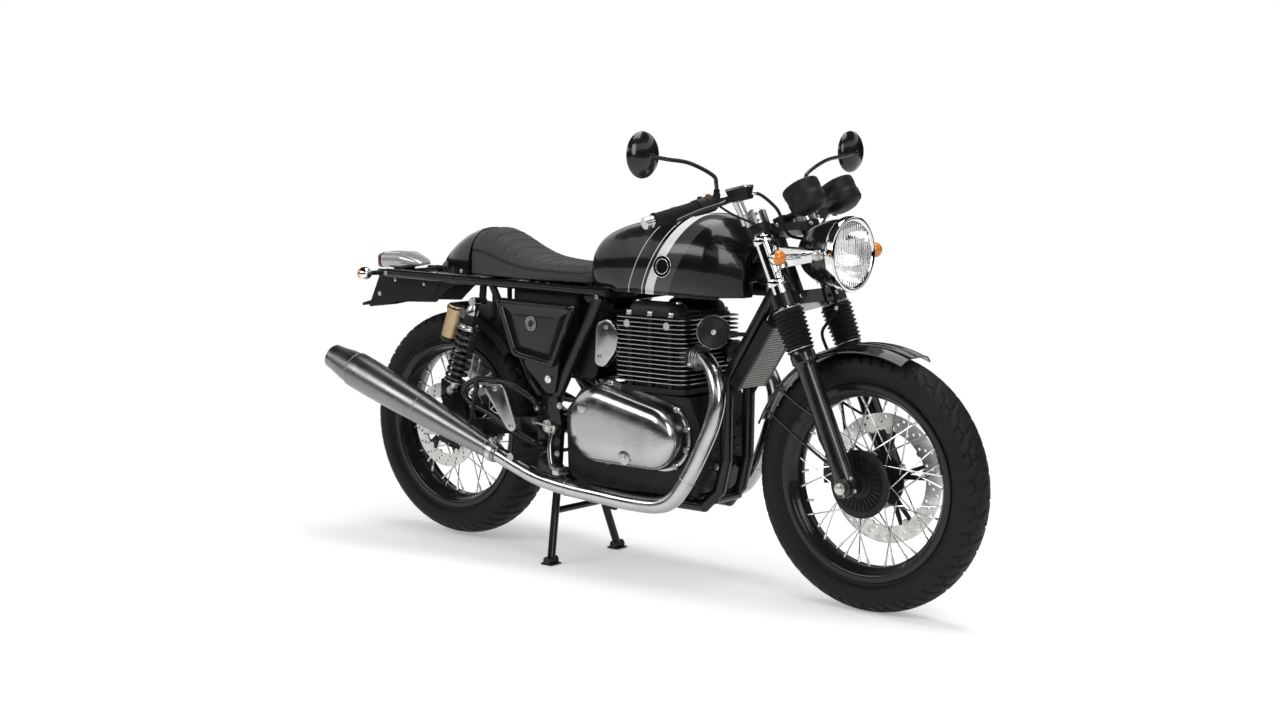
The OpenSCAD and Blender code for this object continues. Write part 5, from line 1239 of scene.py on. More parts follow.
make_piece("cooler_core", [placed(p, on_cooler) for p in core], cooler_alloy, "chassis",
           ["oil_cooler"])
make_piece("cooler_guard", [placed(p, on_cooler) for p in mesh_wires], zinc_bolt,
           crease=80)
ends = [box((0, 31), (s * 48, s * 61.5), (-4, 194)) for s in SIDES]
ends += [box((4, 31), (-50, 50), (h, h + 4)) for h in (-3, 190)]
make_piece("cooler_tanks", [placed(p, on_cooler) for p in ends], hub_black, bevel=3.0)
hoses = []
for s in SIDES:
    a = on_cooler @ Vector((14, s * 44, 0))
    hoses.append(tube(smooth_path([a - cooler_up * 2, a - cooler_up * 40, (326, s * 40, 440),
                                   (306, s * 34, 410)]), 7, 14))
make_piece("cooler_hoses", hoses, plug_rubber, crease=60)
horn_turn = Matrix.Translation((336, -104, 662)) @ Matrix.Rotation(math.radians(-50), 4, "Z")
horn_turn = horn_turn @ Matrix.Rotation(math.radians(90), 4, "Y")
HORN_PROFILE = [(0.5, -30), (10, -30), (12, -28), (13, -14), (25, -13), (26, -2), (38, 0), (41, 2), (41, 10),
                (39.5, 12), (37, 11), (34, 13), (30, 11.6), (26, 13.2), (22, 11.6), (18, 13.4), (14, 12),
                (10, 14), (0.5, 13.6)]
horn = [placed(upright(HORN_PROFILE, 64), horn_turn)]
horn.append(tube([(344, -96, 655), (372, -71, 655), (399, -46.5, 655)], 5.4, 12))
make_piece("horn_disc", horn, hub_black, "chassis", ["horn"], crease=40)
horn_trim = bolt((0, 0, 13.5), (0, 0, 1), 5, 3) + [weld_ring((0, 0, 6), (0, 0, 1), 40.8, 1.1, 60)]
make_piece("horn_trim", [placed(p, horn_turn) for p in horn_trim], zinc_bolt)

# ---------------------------------------------------------------- tail
# Painted fairing that carries a small red lamp in a dark recess, two bullet indicators on black
# stalks, and a moulded black mudguard with a bolted flap and a plain wire hook below.
silver_paint = worn_finish("silver_paint", (0.50, 0.50, 0.495), (0.4, 0.4, 0.395), 0.3, metallic=0.55,
                           coat=0.8, scale=12.0, amount=0.3, grain=200.0, height=0.00004)


def lens_finish(name, color, prism_scale):
    """Coloured moulded lens: clear resin over a pattern of small prisms."""
    material, tree, shader = new_finish(name, 0.0, 0.6, 0.05)
    add_patina(tree, shader, color, tuple(c * 0.72 for c in color), 0.16, 0.06, 60.0, 0.5, 300.0, 0.0001)
    prisms = put(tree, "TexVoronoi", {"Scale": prism_scale, "Vector": object_place(tree)},
                 distance="CHEBYCHEV")
    engrave(tree, shader, prisms.outputs["Distance"], 0.001, 0.5)
    return material


red_lens = lens_finish("red_lens", (0.52, 0.035, 0.012), 160.0)
amber_lens = lens_finish("amber_lens", (0.72, 0.22, 0.012), 150.0)


def tail_section(t):
    half = 20 + 24 * min(1.0, t / 0.45) ** 0.6
    high = 778 + 30 * min(1.0, t / 0.5) ** 0.7 - 4 * max(0.0, t - 0.5)
    low = 772 - 14 * min(1.0, t / 0.5)
    out = []
    for k in range(28):
        c, s = (f(2 * math.pi * k / 28) for f in (math.cos, math.sin))
        y, z = (size * math.copysign(abs(v) ** (2 / 3.2), v) for size,
                v in ((half, c), ((high - low) / 2, s)))
        out.append((-809 - 144 * t, y, (high + low) / 2 + z))
    return out


def soft_block(half_y, half_z, r, mid_z, levels):
    """Block with rounded corners that faces back: each level is (place along X, scale)."""
    edge = rounded([(-half_y, -half_z), (half_y, -half_z), (half_y, half_z), (-half_y, half_z)], r)
    return skinned([[(x, y * k, mid_z + z * k) for y, z in edge] for x, k in levels])


fairing = skinned([tail_section(k / 14) for k in range(15)])
make_piece("tail_fairing", [fairing], silver_paint, "chassis", ["tail_lamp"], crease=50)
recess = []
for x, k in ((-952.8, 0.97), (-956, 1.0), (-962, 0.98), (-962.2, 0.86), (-957, 0.84)):
    recess.append([(x, y * k, 779.5 + (z - 780) * k) for _, y, z in tail_section(1.0)])
bezel = [skinned(recess), box((-925, -875), (-20, 20), (743.7, 768))]
make_piece("tail_bezel", bezel, soft_plastic, bevel=0.8, crease=40)
red = soft_block(35, 20, 8, 779, ((-957, 1.0), (-972, 1.0), (-976.5, 0.96), (-978, 0.86)))
make_piece("tail_lens", [red], red_lens, crease=30)
refinish(soft_plastic, "rear_mudguard")
flap_bolts = []
for s in SIDES:
    for x, z in ((-760, 722), (-880, 728), (-950, 684)):
        flap_bolts += bolt((x, s * 52, z), (0, s, 0), 5.5, 4)
hook = [tube([(-1040, -22, 652), (-1052, -22, 646), (-1052, 22, 646), (-1040, 22, 652)], 3, 10)]
rib = rounded([(-900, 737), (-690, 737), (-720, 684), (-800, 677), (-886, 670), (-930, 663)], 8)
hook += both_sides([cut_plate([rib], 52, 53.4)])
make_piece("flap_bolts", flap_bolts, zinc_bolt)
make_piece("flap_ribs", hook, soft_plastic, crease=40)
make_piece("plate_lamp", [across(-962, 722, (-16, 16), 8, 16)], hub_black, bevel=1.0)
reflector = soft_block(24, 9, 4, 702, ((-966, 1.0), (-976, 1.0), (-977.4, 0.94)))
make_piece("rear_reflector", [reflector], red_lens, crease=30)


def bullet(root, stalk, look):
    """Bullet lamp at the end of a stalk along Y: the metal body's nose points back from the lens."""
    def turned(profile):
        return shifted(placed(lathe(profile, 40), Matrix.Rotation(math.radians(-90 * look), 4, "Z")), root[0],
                       root[1] + stalk + 22, root[2])
    stem = shifted(lathe([(0.5, -1), (9, -1), (9, 4), (7, 7), (6.4, stalk - 6), (7.4, stalk + 8),
                          (0.5, stalk + 8)], 32), *root)
    body = turned([(0.5, -20), (7, -19.4), (12.5, -16.5), (17, -10), (18.8, -3), (19.4, 2), (19.4, 3.6),
                   (18.6, 4.2), (0.5, 4.2)])
    lens = turned([(0.5, 4.2), (18.4, 4.2), (18.6, 7), (17.4, 12), (14, 16.4), (8, 19.2), (0.5, 20)])
    return stem, body, lens


stem, body, lens = bullet((-886.3, 106, 752), 38, -1)
stems = [stem, tube([(-868.5, 98, 752), (-898, 98, 752)], 10.5, 20)]
make_piece("rear_indicator_stalks", both_sides(stems), soft_plastic, "chassis",
           ["rear_indicators"], crease=35)
make_piece("rear_indicator_bodies", both_sides([body]), chrome, crease=35)
make_piece("rear_indicator_lenses", both_sides([lens]), amber_lens, crease=50)

# ---------------------------------------------------------------- shock absorbers
# Twin gas shocks: alloy eyes top and bottom, a black coil spring over the damper, threaded
# preload collars, and a gold-anodised gas reservoir held behind the body on a short bridge.
gold = worn_finish("gold_anodised", (0.56, 0.43, 0.25), (0.44, 0.33, 0.18), 0.36, metallic=0.35, scale=30.0,
                   grain=300.0)
spring_black = worn_finish("spring_black", (0.05, 0.05, 0.052), (0.11, 0.11, 0.11), 0.3, metallic=0.6,
                           coat=0.3, scale=40.0, grain=300.0)
shock_foot = Vector((-556, 142, 442))
shock_head = Vector((-478, 128, 692))
rise = shock_head - shock_foot
shock_length = rise.length
shock_run = rise.normalized()
lean_side = math.atan2(rise.y, math.hypot(rise.x, rise.z))
lean_back = math.atan2(rise.x, rise.z)
on_shock = Matrix.Translation(shock_foot) @ Matrix.Rotation(-lean_side, 4, "X")
on_shock = on_shock @ Matrix.Rotation(lean_back, 4, "Y")


def up_shock(profile, steps=40, x=0, y=0):
    """Surface turned about the damper, or beside it: the profile is (radius, height above the lower eye)."""
    return placed(shifted(upright(profile, steps), x, y, 0), on_shock)


def bottle(profile):
    return up_shock(profile, 44, -56, 8)


eye = lathe([(6, -12), (11, -12), (12, -11), (12, 11), (11, 12), (6, 12)], 32)
top = shock_length
fittings = [placed(shifted(eye, 0, 0, h), on_shock) for h in (0, top)]
fittings.append(up_shock([(0.5, 8), (10, 8), (11, 14), (11, 24), (20, 27), (31, 28), (31.4, 30), (31, 31.5),
                          (0.5, 31.5)]))
fittings.append(up_shock([(0.5, 183), (31, 183), (31.4, 184.5), (31, 187), (27, 188), (25, 192), (25, 196),
                          (22, 197), (0.5, 197)]))
fittings.append(up_shock([(0.5, top - 40), (18, top - 40), (19, top - 36), (16, top - 20), (10, top - 8),
                          (0.5, top - 8)]))
fittings.append(placed(box((-50, 0), (-4, 14), (208, 229)), on_shock))
dampers = [up_shock([(0.5, 29), (17, 29), (17.4, 32), (17.4, 104), (16, 108), (6, 109), (6, 180),
                     (0.5, 180)])]
dampers.append(up_shock([(0.5, 188), (18, 188), (19, 190), (19, 216), (18.4, 217), (19, 219), (19, 226),
                         (18, 227), (0.5, 227)]))
reservoir = bottle([(0.5, 128), (19, 128), (22, 131), (22, 205), (20.6, 206), (20.6, 209), (22, 210),
                    (22, 228), (20, 231.6), (0.5, 232)])
caps = [bottle([(0.5, 126), (18, 126), (20.5, 128), (22.4, 132), (22.4, 140), (0.5, 140)])]
caps.append(bottle([(0.5, 222), (22.4, 222), (22.4, 226), (20, 231.8), (0.5, 232)]))
make_piece("shock_fittings", both_sides(fittings), polished_alloy, "chassis",
           ["shock_absorbers"], bevel=0.8)
make_piece("shock_dampers", both_sides(dampers), hub_black)
make_piece("shock_reservoirs", both_sides([reservoir]), gold)
make_piece("reservoir_caps", both_sides(caps), hub_black)
coil = []
for k in range(225):
    a = 2 * math.pi * k / 28
    coil.append(on_shock @ Vector((27 * math.cos(a), 27 * math.sin(a), 36 + 142 * k / 224)))
coils = both_sides([tube(coil, 4.5, 12, shock_run)])
make_piece("shock_coils", coils, spring_black, "chassis", ["shock_springs"], crease=80)
studs = []
for at in (shock_foot, shock_head):
    studs += bolt(at + AXIS_Y * 12, (0, 1, 0), 8, 7)
make_piece("shock_nuts", both_sides(studs), zinc_bolt, bevel=0.5)

# ---------------------------------------------------------------- rider's feet
# Black loop tube with a polished tapered heel plate on two bolts, rubber-sleeved pegs, and short
# polished pedals for the rear brake and the gears, each on its own pivot with a link rod.
loop = smooth_path([(-246, 122.3, 420), (-258, 146, 452), (-330, 168, 486), (-430, 172, 484),
                    (-478, 172, 458), (-462, 172, 424), (-380, 171, 396), (-300, 166, 360), (-252, 150, 334),
                    (-236, 122.3, 322)], 7)
loops = [tube(loop, 8, 20), tube([(-236, 128, 318), (-218, 142, 306)], 9, 16)]
heel = rounded([(-392, 462), (-380, 476), (-330, 482), (-314, 470), (-272, 372), (-286, 356), (-304, 360)],
               12, 6)
heel_bolts = []
for x, z in ((-350, 468), (-292, 372)):
    heel_bolts += cap_screw((x, 182.6, z), (0, 1, 0), 7, 4)
    loops.append(across(x, z, (168, 176.2), 8, 16))
for x, z in ((-246, 420), (-236, 322)):
    heel_bolts += cap_screw((x, 129.6, z), (0, 1, 0), 7, 4)
    loops.append(across(x, z, (114.4, 129, 130), [13, 13, 12], 28))
PEG_PROFILE = [(0.5, 132), (10, 132), (11, 133), (11, 157), (13, 158), (13, 161), (9, 161), (9, 259),
               (11, 259), (11, 262), (0.5, 262)]
sleeve = [(9.4, 160.5)]
for k in range(16):
    y = 161 + k * 6.1
    sleeve += [(13, y + 0.2), (13, y + 3.6), (11.6, y + 4.2), (11.6, y + 5.6)]
sleeve += [(12.6, 259.5), (9.4, 259.5)]
peg, peg_sleeve = (shifted(lathe(profile, 24), -218, 0, 306) for profile in (PEG_PROFILE, sleeve))
make_piece("footrest_loops", both_sides(loops), frame_black, "chassis", ["footrests"],
           crease=40)
make_piece("heel_plates", both_sides([swept_outline(heel, 176, 183, 1.6)]), polished_alloy, crease=30)
make_piece("heel_plate_bolts", both_sides(heel_bolts), zinc_bolt, bevel=0.4)
make_piece("footrest_spindles", both_sides([peg]), polished_alloy, crease=30)
make_piece("footrest_rubbers", both_sides([peg_sleeve]), plug_rubber, crease=30)

pedals = []
for s, out, z_tip in ((-1, 4, 274), (1, 6, 276)):
    route = smooth_path([(-196, s * 122, 352), (-170, s * 160, 318), (-140, s * 184, 280),
                         (-98, s * (184 + out), z_tip)])
    pedals.append(tube(route, [9 - 2.5 * k / (len(route) - 1) for k in range(len(route))], 16))
    pedals.append(across(-196, 352, (s * 114.5, s * 126, s * 128), [11, 11, 9], 28))
pedals.append(swept_outline(rounded([(-109, 265), (-87, 265), (-87, 284), (-109, 284)], 5), -218, -176, 2))
pads = [shifted(lathe([(5, 184), (8.4, 185), (9, 188), (9, 224), (8, 227.6), (5, 228)], 24), -98, 0, 276)]
for k in range(7):
    y = -213 + k * 5.6
    pads.append(tube([(-87.8, y, 274.5), (-108.2, y, 274.5)], 1.6, 6))
make_piece("foot_pedals", pedals, polished_alloy, stands_for=["foot_controls"])
make_piece("pedal_rubbers", pads, plug_rubber)
links = [across(-262, 380, (-116, -130), 7, 16)]
for a, b, root in (((-182, -128, 372), (-262, -128, 380), (-196, -122, 352)),
                   ((-182, 128, 350), (-120, 133, 412), (-196, 122, 352))):
    links.append(tube([a, b], 3.2, 10))
    links += [across(x, z, (y - 5, y + 5), 6, 16) for x, y, z in (a, b)]
    links.append(tube([root, (a[0], math.copysign(126, a[1]), a[2])], 5, 10))
make_piece("pedal_links", links, zinc_bolt, crease=40)

# ---------------------------------------------------------------- brake calipers
# Two-piston calipers in black-anodised cast alloy: an arched body that bridges its disc, round
# piston housings, pad pins and a bleed screw. The rear one hangs under a bracket by the axle.


def caliper_parts(centre, disc_r, y, start, turn, depth):
    """Caliper round its disc's edge: an arched body with four piston housings, and its pins."""
    out = y + 21
    low = y - 16
    foot = disc_r - depth
    profile = [(foot, low + 2), (foot + 2, low), (disc_r + 9, low), (disc_r + 14, low + 5),
               (disc_r + 14, out - 5), (disc_r + 9, out), (foot + 2, out), (foot, out - 2), (foot, y + 10),
               (disc_r + 5, y + 10), (disc_r + 5, y - 5), (foot, y - 5)]
    body = [lathe(profile, 28, start, turn)]
    for share in (0.28, 0.72):
        at = polar(disc_r - depth * 0.42, math.radians(start + turn * share))
        for ys in ((out - 1, out + 3, out + 4), (low + 1, low - 3, low - 4)):
            body.append(across(at.x, at.z, ys, [16, 15, 12.5], 28))
    pins = []
    for r in (foot + 10, disc_r + 3):
        at = polar(r, math.radians(start + turn * 0.5))
        pins += [across(at.x, at.z, ys, 3.4) for ys in ((low - 1.5, low + 6), (out - 6, out + 1.5))]
    a = math.radians(start + turn * 0.12)
    pins.append(tube([polar(disc_r + 11 + h, a, y + 2) for h in (0, 6, 10, 12)], [4, 4, 2.4, 3], 12))
    return [shifted(p, *centre) for p in body], [shifted(p, *centre) for p in pins]


caliper_black = worn_finish("caliper_black", (0.012, 0.012, 0.0125), (0.03, 0.03, 0.03), 0.36, coat=0.2,
                            scale=40.0, grain=360.0, height=0.0003)
body, pins = caliper_parts(REAR_AXLE, 120, -75, 52, 38, 48)
body.append(swept_outline([(-643.6, 417.6), (-595.6, 405.6), (-575.6, 323.6), (-615.6, 323.6)], -92, -104.6,
                          2))
make_piece("rear_caliper_body", body, caliper_black, "chassis", ["rear_caliper"])
make_piece("rear_caliper_pins", pins, zinc_bolt)
body, pins = caliper_parts(FRONT_AXLE, 160, 56, 156, 34, 56)
make_piece("front_caliper_body", body, caliper_black, "steering", ["front_caliper"])
make_piece("front_caliper_pins", pins, zinc_bolt, "steering")

# ---------------------------------------------------------------- fork
# Telescopic fork: black-painted lower legs, moulded rubber gaiters over chromed tubes, a black
# forged lower yoke and a plain cast top yoke with socket screws at each pinch.
on_fork = Matrix.Translation(FRONT_AXLE) @ Matrix.Rotation(math.radians(-24), 4, "Y")


def up_leg(profile, y, steps=40, x=0):
    """Surface turned about a fork leg: the profile is (radius, distance up the leg from the axle)."""
    return placed(shifted(upright(profile, steps), x, y, 0), on_fork)


def fork_at(x, y, z):
    return on_fork @ Vector((x, y, z))


leg_paint = worn_finish("leg_paint", (0.009, 0.009, 0.0095), (0.02, 0.02, 0.02), 0.26, coat=0.6, scale=18.0,
                        grain=160.0, height=0.00008)
LEG_Y = 101
LEG_PROFILE = [(0.5, -24.5), (12, -24.5), (19, -20), (24, -12), (26, 2), (26, 60), (25, 66), (25, 300),
               (26, 306), (27, 312), (31, 316), (31, 334), (30, 339), (28, 345), (21, 345), (20.9, 240),
               (0.5, 240)]
legs = [placed(box((-124, -30), (77.4, 87), (48, 80)), on_fork)]
leg_bits = []
for s in SIDES:
    clamp_profile = [(8.7, s * 74.2), (23, s * 74.2), (24, s * 76), (24, s * 126), (22.6, s * 128),
                     (8.7, s * 128)]
    legs.append(up_leg(LEG_PROFILE, s * LEG_Y, 44))
    legs.append(placed(lathe(clamp_profile, 40), on_fork))
    legs.append(tube([fork_at(x, s * LEG_Y, z) for x, z in ((-25, 90), (-30, 130), (-25, 200))], [4, 5, 4],
                     10))
    leg_bits += cap_screw(fork_at(0, s * 127.6, -18), (0, s, 0), 3.4, 3)
    for z in (16, -16):
        leg_bits += bolt(fork_at(23.5, s * 113, z), (0.91, 0, 0.41), 4.5, 5)
    leg_bits += bolt(fork_at(0, s * 136.3, 0), (0, s, 0), 11, 6)
make_piece("fork_lower_legs", legs, leg_paint, "steering", ["fork_sliders"])
for z in (54, 74):
    leg_bits += bolt(fork_at(-108, 87, z), (0, 1, 0), 6, 6)
make_piece("fork_leg_bolts", leg_bits, zinc_bolt, "steering", bevel=0.3)
gaiter_rubber = worn_finish("gaiter_rubber", (0.008, 0.008, 0.008), (0.02, 0.02, 0.0195), 0.5, scale=30.0,
                            amount=0.4, grain=350.0, height=0.0003)
FOLD = ((6.4, -0.6), (6.6, 0.8), (1.6, 3.8), (0.1, 5.3), (1.6, 6.8), (6.4, 9.6))
bellows = [(20.9, 345.4), (32, 345.4), (32.4, 349)]
for k in range(9):
    bellows += [(36 + 5 * k / 9 - shrink, 350.3 + k * 10.67 + up) for shrink, up in FOLD]
bellows += [(35, 446.5), (34.6, 451), (20.9, 451)]
gaiters = [up_leg(bellows, s * LEG_Y, 48) for s in SIDES]
make_piece("gaiter_bellows", gaiters, gaiter_rubber, "steering", ["fork_gaiters"], crease=70)
leg_run = fork_at(0, 0, 1) - fork_at(0, 0, 0)
bands = [weld_ring(fork_at(0, s * LEG_Y, z), leg_run, r, 1.3, 60) for s in SIDES for z,
         r in ((347.5, 32.4), (448.8, 35))]
make_piece("gaiter_bands", bands, zinc_bolt, "steering", crease=80)
refinish(chrome, "fork_tubes")
refinish(hub_black, "top_yoke")
TOP_CAP = [(0.5, 700), (20.4, 700.4), (20.4, 704), (19, 706), (12, 706.5), (11, 710), (0.5, 710)]
STEM_NUT = [(0.5, 667), (24, 667), (24, 669), (19, 670), (19, 678), (17, 680), (0.5, 680)]
yoke_bits = [up_leg(STEM_NUT, 0, 6, -38)]
for s in SIDES:
    yoke_bits.append(up_leg(TOP_CAP, s * LEG_Y, 36))
    yoke_bits += cap_screw(fork_at(30, s * 70, 656), (1, 0, 0.4), 5, 6)
    yoke_bits += cap_screw(fork_at(30, s * 74, 472), (1, 0, 0.4), 6, 6)
make_piece("yoke_fastenings", yoke_bits, zinc_bolt, "steering", bevel=0.5)

# ---------------------------------------------------------------- front mudguard
# Short pressed steel guard, gloss black, with a rolled edge and a raised centre line, bolted to
# the fork by a bridge and held at the back by a thin stay on each side.
arc = []
for k in range(31):
    v = -1 + 2 * k / 30
    r = 335.2 - 48.3 * max(0.0, abs(v) - 0.42) ** 1.9
    arc.append((r + (1.2 if abs(v) < 0.06 else 0), v * 62))
inner_arc = [(r - 2.6, y * 0.985) for r, y in reversed(arc)]
edge_r = arc[0][0]
shell = [lathe(arc + inner_arc, 72, 68, 90)]
for s in SIDES:
    shell.append(tube([polar(edge_r, math.radians(68 + 90 * k / 60), s * 62) for k in range(61)], 2.2, 8))
for degrees in (68, 158):
    shell.append(tube([polar(r, math.radians(degrees), y) for r, y in arc], 1.8, 8))
shell = [shifted(p, *FRONT_AXLE) for p in shell]
make_piece("front_guard_shell", shell, lacquer, "steering", ["front_mudguard"], crease=40)
stays = []
guard_bolts = []
for s in SIDES:
    for degrees, z in ((150, 40), (138, 170)):
        tip = Vector(FRONT_AXLE) + polar(edge_r - 2, math.radians(degrees), s * 63)
        foot = fork_at(-22, s * 86, z)
        stays.append(tube([tip, tip.lerp(foot, 0.5) + AXIS_Y * (s * 5), foot], 3.4, 10))
    stays.append(placed(box((-14, 14), (s * 60, s * 76), (284, 308)), on_fork))
    for z in (290, 302):
        guard_bolts += bolt(fork_at(0, s * 62.2, z), (0, -s, 0), 4, 3)
make_piece("front_guard_stays", stays, lacquer, "steering", crease=40)
make_piece("front_guard_bolts", guard_bolts, zinc_bolt, "steering")

# ---------------------------------------------------------------- headlamp
# Round headlamp: a black bucket, a chromed rim, a moulded clear glass over a bright reflector
# with a bulb shield, and chromed brackets clamped round the fork tubes.


def lamp_turned(profile, steps=96):
    """Surface turned about the lamp's own axis: the profile is (radius, distance back from the face)."""
    return shifted(placed(lathe(profile, steps), Matrix.Rotation(math.radians(90), 4, "Z")), 684, 0, 864)


bucket = lamp_turned([(0.5, 144), (26, 142), (46, 134), (60, 118), (72, 96), (78, 76), (82, 56), (84, 34),
                      (84.5, 28), (80, 28), (78, 40), (0.5, 100)])
rim = lamp_turned([(79.5, 4.5), (82, 1.4), (85, 0.2), (89, 0.8), (91.6, 3), (92, 8), (91.4, 19), (90, 24),
                   (87, 29), (84.4, 30.5), (84.2, 26), (86, 16), (84, 8), (80, 8)])
bowl = lamp_turned([(80, 8), (74, 26), (62, 46), (46, 62), (28, 72), (12, 76), (0.5, 76), (0.5, 78), (30, 74),
                    (64, 50), (80, 26), (82, 9)])
shield = lamp_turned([(0.5, 38), (10, 40), (14, 44), (14, 50), (12.6, 50), (12, 46), (0.5, 42)])
bulb_stem = tube([(644, 0, 864), (612, 0, 864)], 3, 10)
dome = [(max(80 * k / 24, 0.5), 5.2 - 5.6 * (1 - (k / 24) ** 2)) for k in range(25)]
back = [(r, d + 2.4) for r, d in reversed(dome)]
reflector_metal = worn_finish("reflector_metal", (0.86, 0.86, 0.86), (0.7, 0.7, 0.7), 0.1, metallic=1.0,
                              scale=40.0, height=0.00005)
lamp_glass, tree, shader = new_finish("lamp_glass")
for label, value in (("Base Color", (0.98, 0.985, 0.985, 1)), ("Transmission Weight", 1.0), ("IOR", 1.45),
                     ("Roughness", 0.03)):
    shader.inputs[label].default_value = value
place = object_place(tree)
flutes = put(tree, "TexWave", {"Scale": 34.0, "Distortion": 0.0, "Vector": place}, wave_type="BANDS",
             bands_direction="Y")
blocks = put(tree, "TexVoronoi", {"Scale": 42.0, "Vector": place}, distance="CHEBYCHEV")
pattern = math_node(tree, "ADD", flutes.outputs["Fac"], blocks.outputs["Distance"])
engrave(tree, shader, pattern, 0.002, 0.5)
make_piece("headlamp_bucket", [bucket], leg_paint, "steering", ["headlamp"], crease=40)
make_piece("headlamp_rim", [rim], chrome, "steering", crease=40)
make_piece("headlamp_bowl", [bowl], reflector_metal, "steering", crease=50)
make_piece("headlamp_shield", [shield, bulb_stem], reflector_metal, "steering", crease=40)
make_piece("headlamp_glass", [lamp_turned(dome + back)], lamp_glass, "steering", crease=50)
ears = []
ear_bolts = []
ear_edge = rounded([(522, 826), (506, 884), (632, 880), (656, 876), (656, 852), (632, 848)], 12)
for s in SIDES:
    ears.append(swept_outline(ear_edge, s * 90, s * 97, 1.4))
    for z in (512, 620):
        band = [(21, z), (26.5, z), (27.4, z + 2), (27.4, z + 14), (26.5, z + 16), (21, z + 16)]
        ears.append(up_leg(band, s * LEG_Y, 48))
    ears.append(up_leg([(21, 516), (23.4, 516), (23.4, 632), (21, 632)], s * LEG_Y, 48))
    ears.append(across(640, 864, (s * 78, s * 91), [14, 11], 28))
    for x, z, r, h in ((640, 864, 10, 6), (524, 868, 5, 4), (528, 842, 5, 4)):
        ear_bolts += bolt((x, s * 97, z), (0, s, 0), r, h)
make_piece("headlamp_ears", ears, chrome, "steering")
make_piece("headlamp_bolts", ear_bolts, zinc_bolt, "steering", bevel=0.4)

# Chromed front indicators on long stalks from the same brackets
stem, body, lens = bullet((603, 97.3, 862), 84, 1)
arm = tube([(603, y, 862) for y in (96, 110, 176)], [9, 7, 6.6], 20, Vector((1, 0, 0)))
make_piece("front_indicator_bodies", both_sides([arm, body]), chrome, "steering",
           ["front_indicators"])
make_piece("front_indicator_lenses", both_sides([lens]), amber_lens, "steering", crease=50)

# ---------------------------------------------------------------- clocks
# Twin black clocks with chromed-edge glasses on a rubber-mounted bracket: plain dials with a
# scale of ticks and a pale needle, tilted back towards the rider.
dial_black = worn_finish("dial_black", (0.02, 0.02, 0.021), (0.028, 0.028, 0.028), 0.6)
dial_white = worn_finish("dial_white", (0.75, 0.75, 0.73), (0.65, 0.65, 0.63), 0.6)
clock_glass, tree, shader = new_finish("clock_glass")
add_patina(tree, shader, (0.96, 0.97, 0.97), (0.93, 0.94, 0.94), 0.03, 0.02, 20.0, 0.3, 100.0, 0.00002)
shader.inputs["Transmission Weight"].default_value = 1.0
CASE_PROFILE = [(0.5, -42), (22, -42), (30, -40), (44, -31), (46.4, -26), (46.8, -8), (45.6, -6), (45.6, 8),
                (46.8, 10), (47, 24), (46, 27.6), (42.5, 28), (41, 26), (41, 20), (0.5, 20)]
GLASS_PROFILE = [(0.5, 25.6), (30, 25.2), (41.5, 24.2), (41.5, 23.4), (30, 24), (0.5, 24.4)]
cases = []
dials = []
marks = []
glass = []
rims = []


def on_dial(r, a, z):
    return Vector((r * math.cos(a), r * math.sin(a), z))


for y in (-73, 0, 73):
    on_clock = Matrix.Translation((588, y, 1004)) @ Matrix.Rotation(math.radians(-34), 4, "Y")
    if y == 0:
        bar = rounded([(-16, -27), (16, -27), (16, -19), (-16, -19)], 3)
        cases.append(placed(skinned([[(x, side, z) for x, z in bar] for side in (-60, -58, 58, 60)]),
                            on_clock))
        continue
    cases.append(placed(upright(CASE_PROFILE, 56), on_clock))
    dials.append(placed(upright([(0.5, 20.4), (41, 20.4), (41, 21.4), (0.5, 21.6)], 56), on_clock))
    glass.append(placed(upright(GLASS_PROFILE, 56), on_clock))
    scale = []
    for k in range(25):
        a = math.radians(-130 + 260 * k / 24)
        scale.append(tube([on_dial(38, a, 21.8), on_dial(29 if k % 4 == 0 else 33, a, 21.8)], 0.6, 5))
    a = math.radians(-118)
    scale.append(tube([on_dial(-6, a, 22.6), on_dial(30, a, 22.6)], [1.3, 0.6], 6))
    scale.append(tube([(0, 0, 21.6), (0, 0, 23.6)], 3.4, 16))
    marks += [placed(p, on_clock) for p in scale]
    rims.append(weld_ring(on_clock @ Vector((0, 0, 27.2)), on_clock.to_3x3() @ UP, 44.6, 1.2, 60))
cases.append(tube([fork_at(8, 0, 678), (584, 0, 985)], 8.6, 16))
cases.append(placed(box((-10, 20), (-22, 22), (667.6, 686)), on_fork))
make_piece("clock_cases", cases, soft_plastic, "steering", ["instruments"], bevel=0.5,
           crease=40)
make_piece("clock_dials", dials, dial_black, "steering")
make_piece("clock_marks", marks, dial_white, "steering", crease=80)
make_piece("clock_glasses", glass, clock_glass, "steering", crease=50)
make_piece("clock_rims", rims, leg_paint, "steering", crease=80)

# ---------------------------------------------------------------- handlebars
# Forged alloy clip-on bars clamped round the fork tubes above the top yoke, with black ribbed
# grips, alloy end weights, and switch housings with moulded buttons.
bar_end = Vector((337, 372, 940))
bar_root = Vector((418, 125, 1000))
bar_run = (bar_root - bar_end).normalized()
satin_alloy = worn_finish("satin_alloy", (0.60, 0.60, 0.59), (0.42, 0.42, 0.41), 0.28, metallic=1.0,
                          scale=22.0)


def along_bar(profile, steps=32):
    """Surface turned about the left bar: (distance in from its end, radius)."""
    return tube([bar_end + bar_run * d for d, r in profile], [r for d, r in profile], steps)


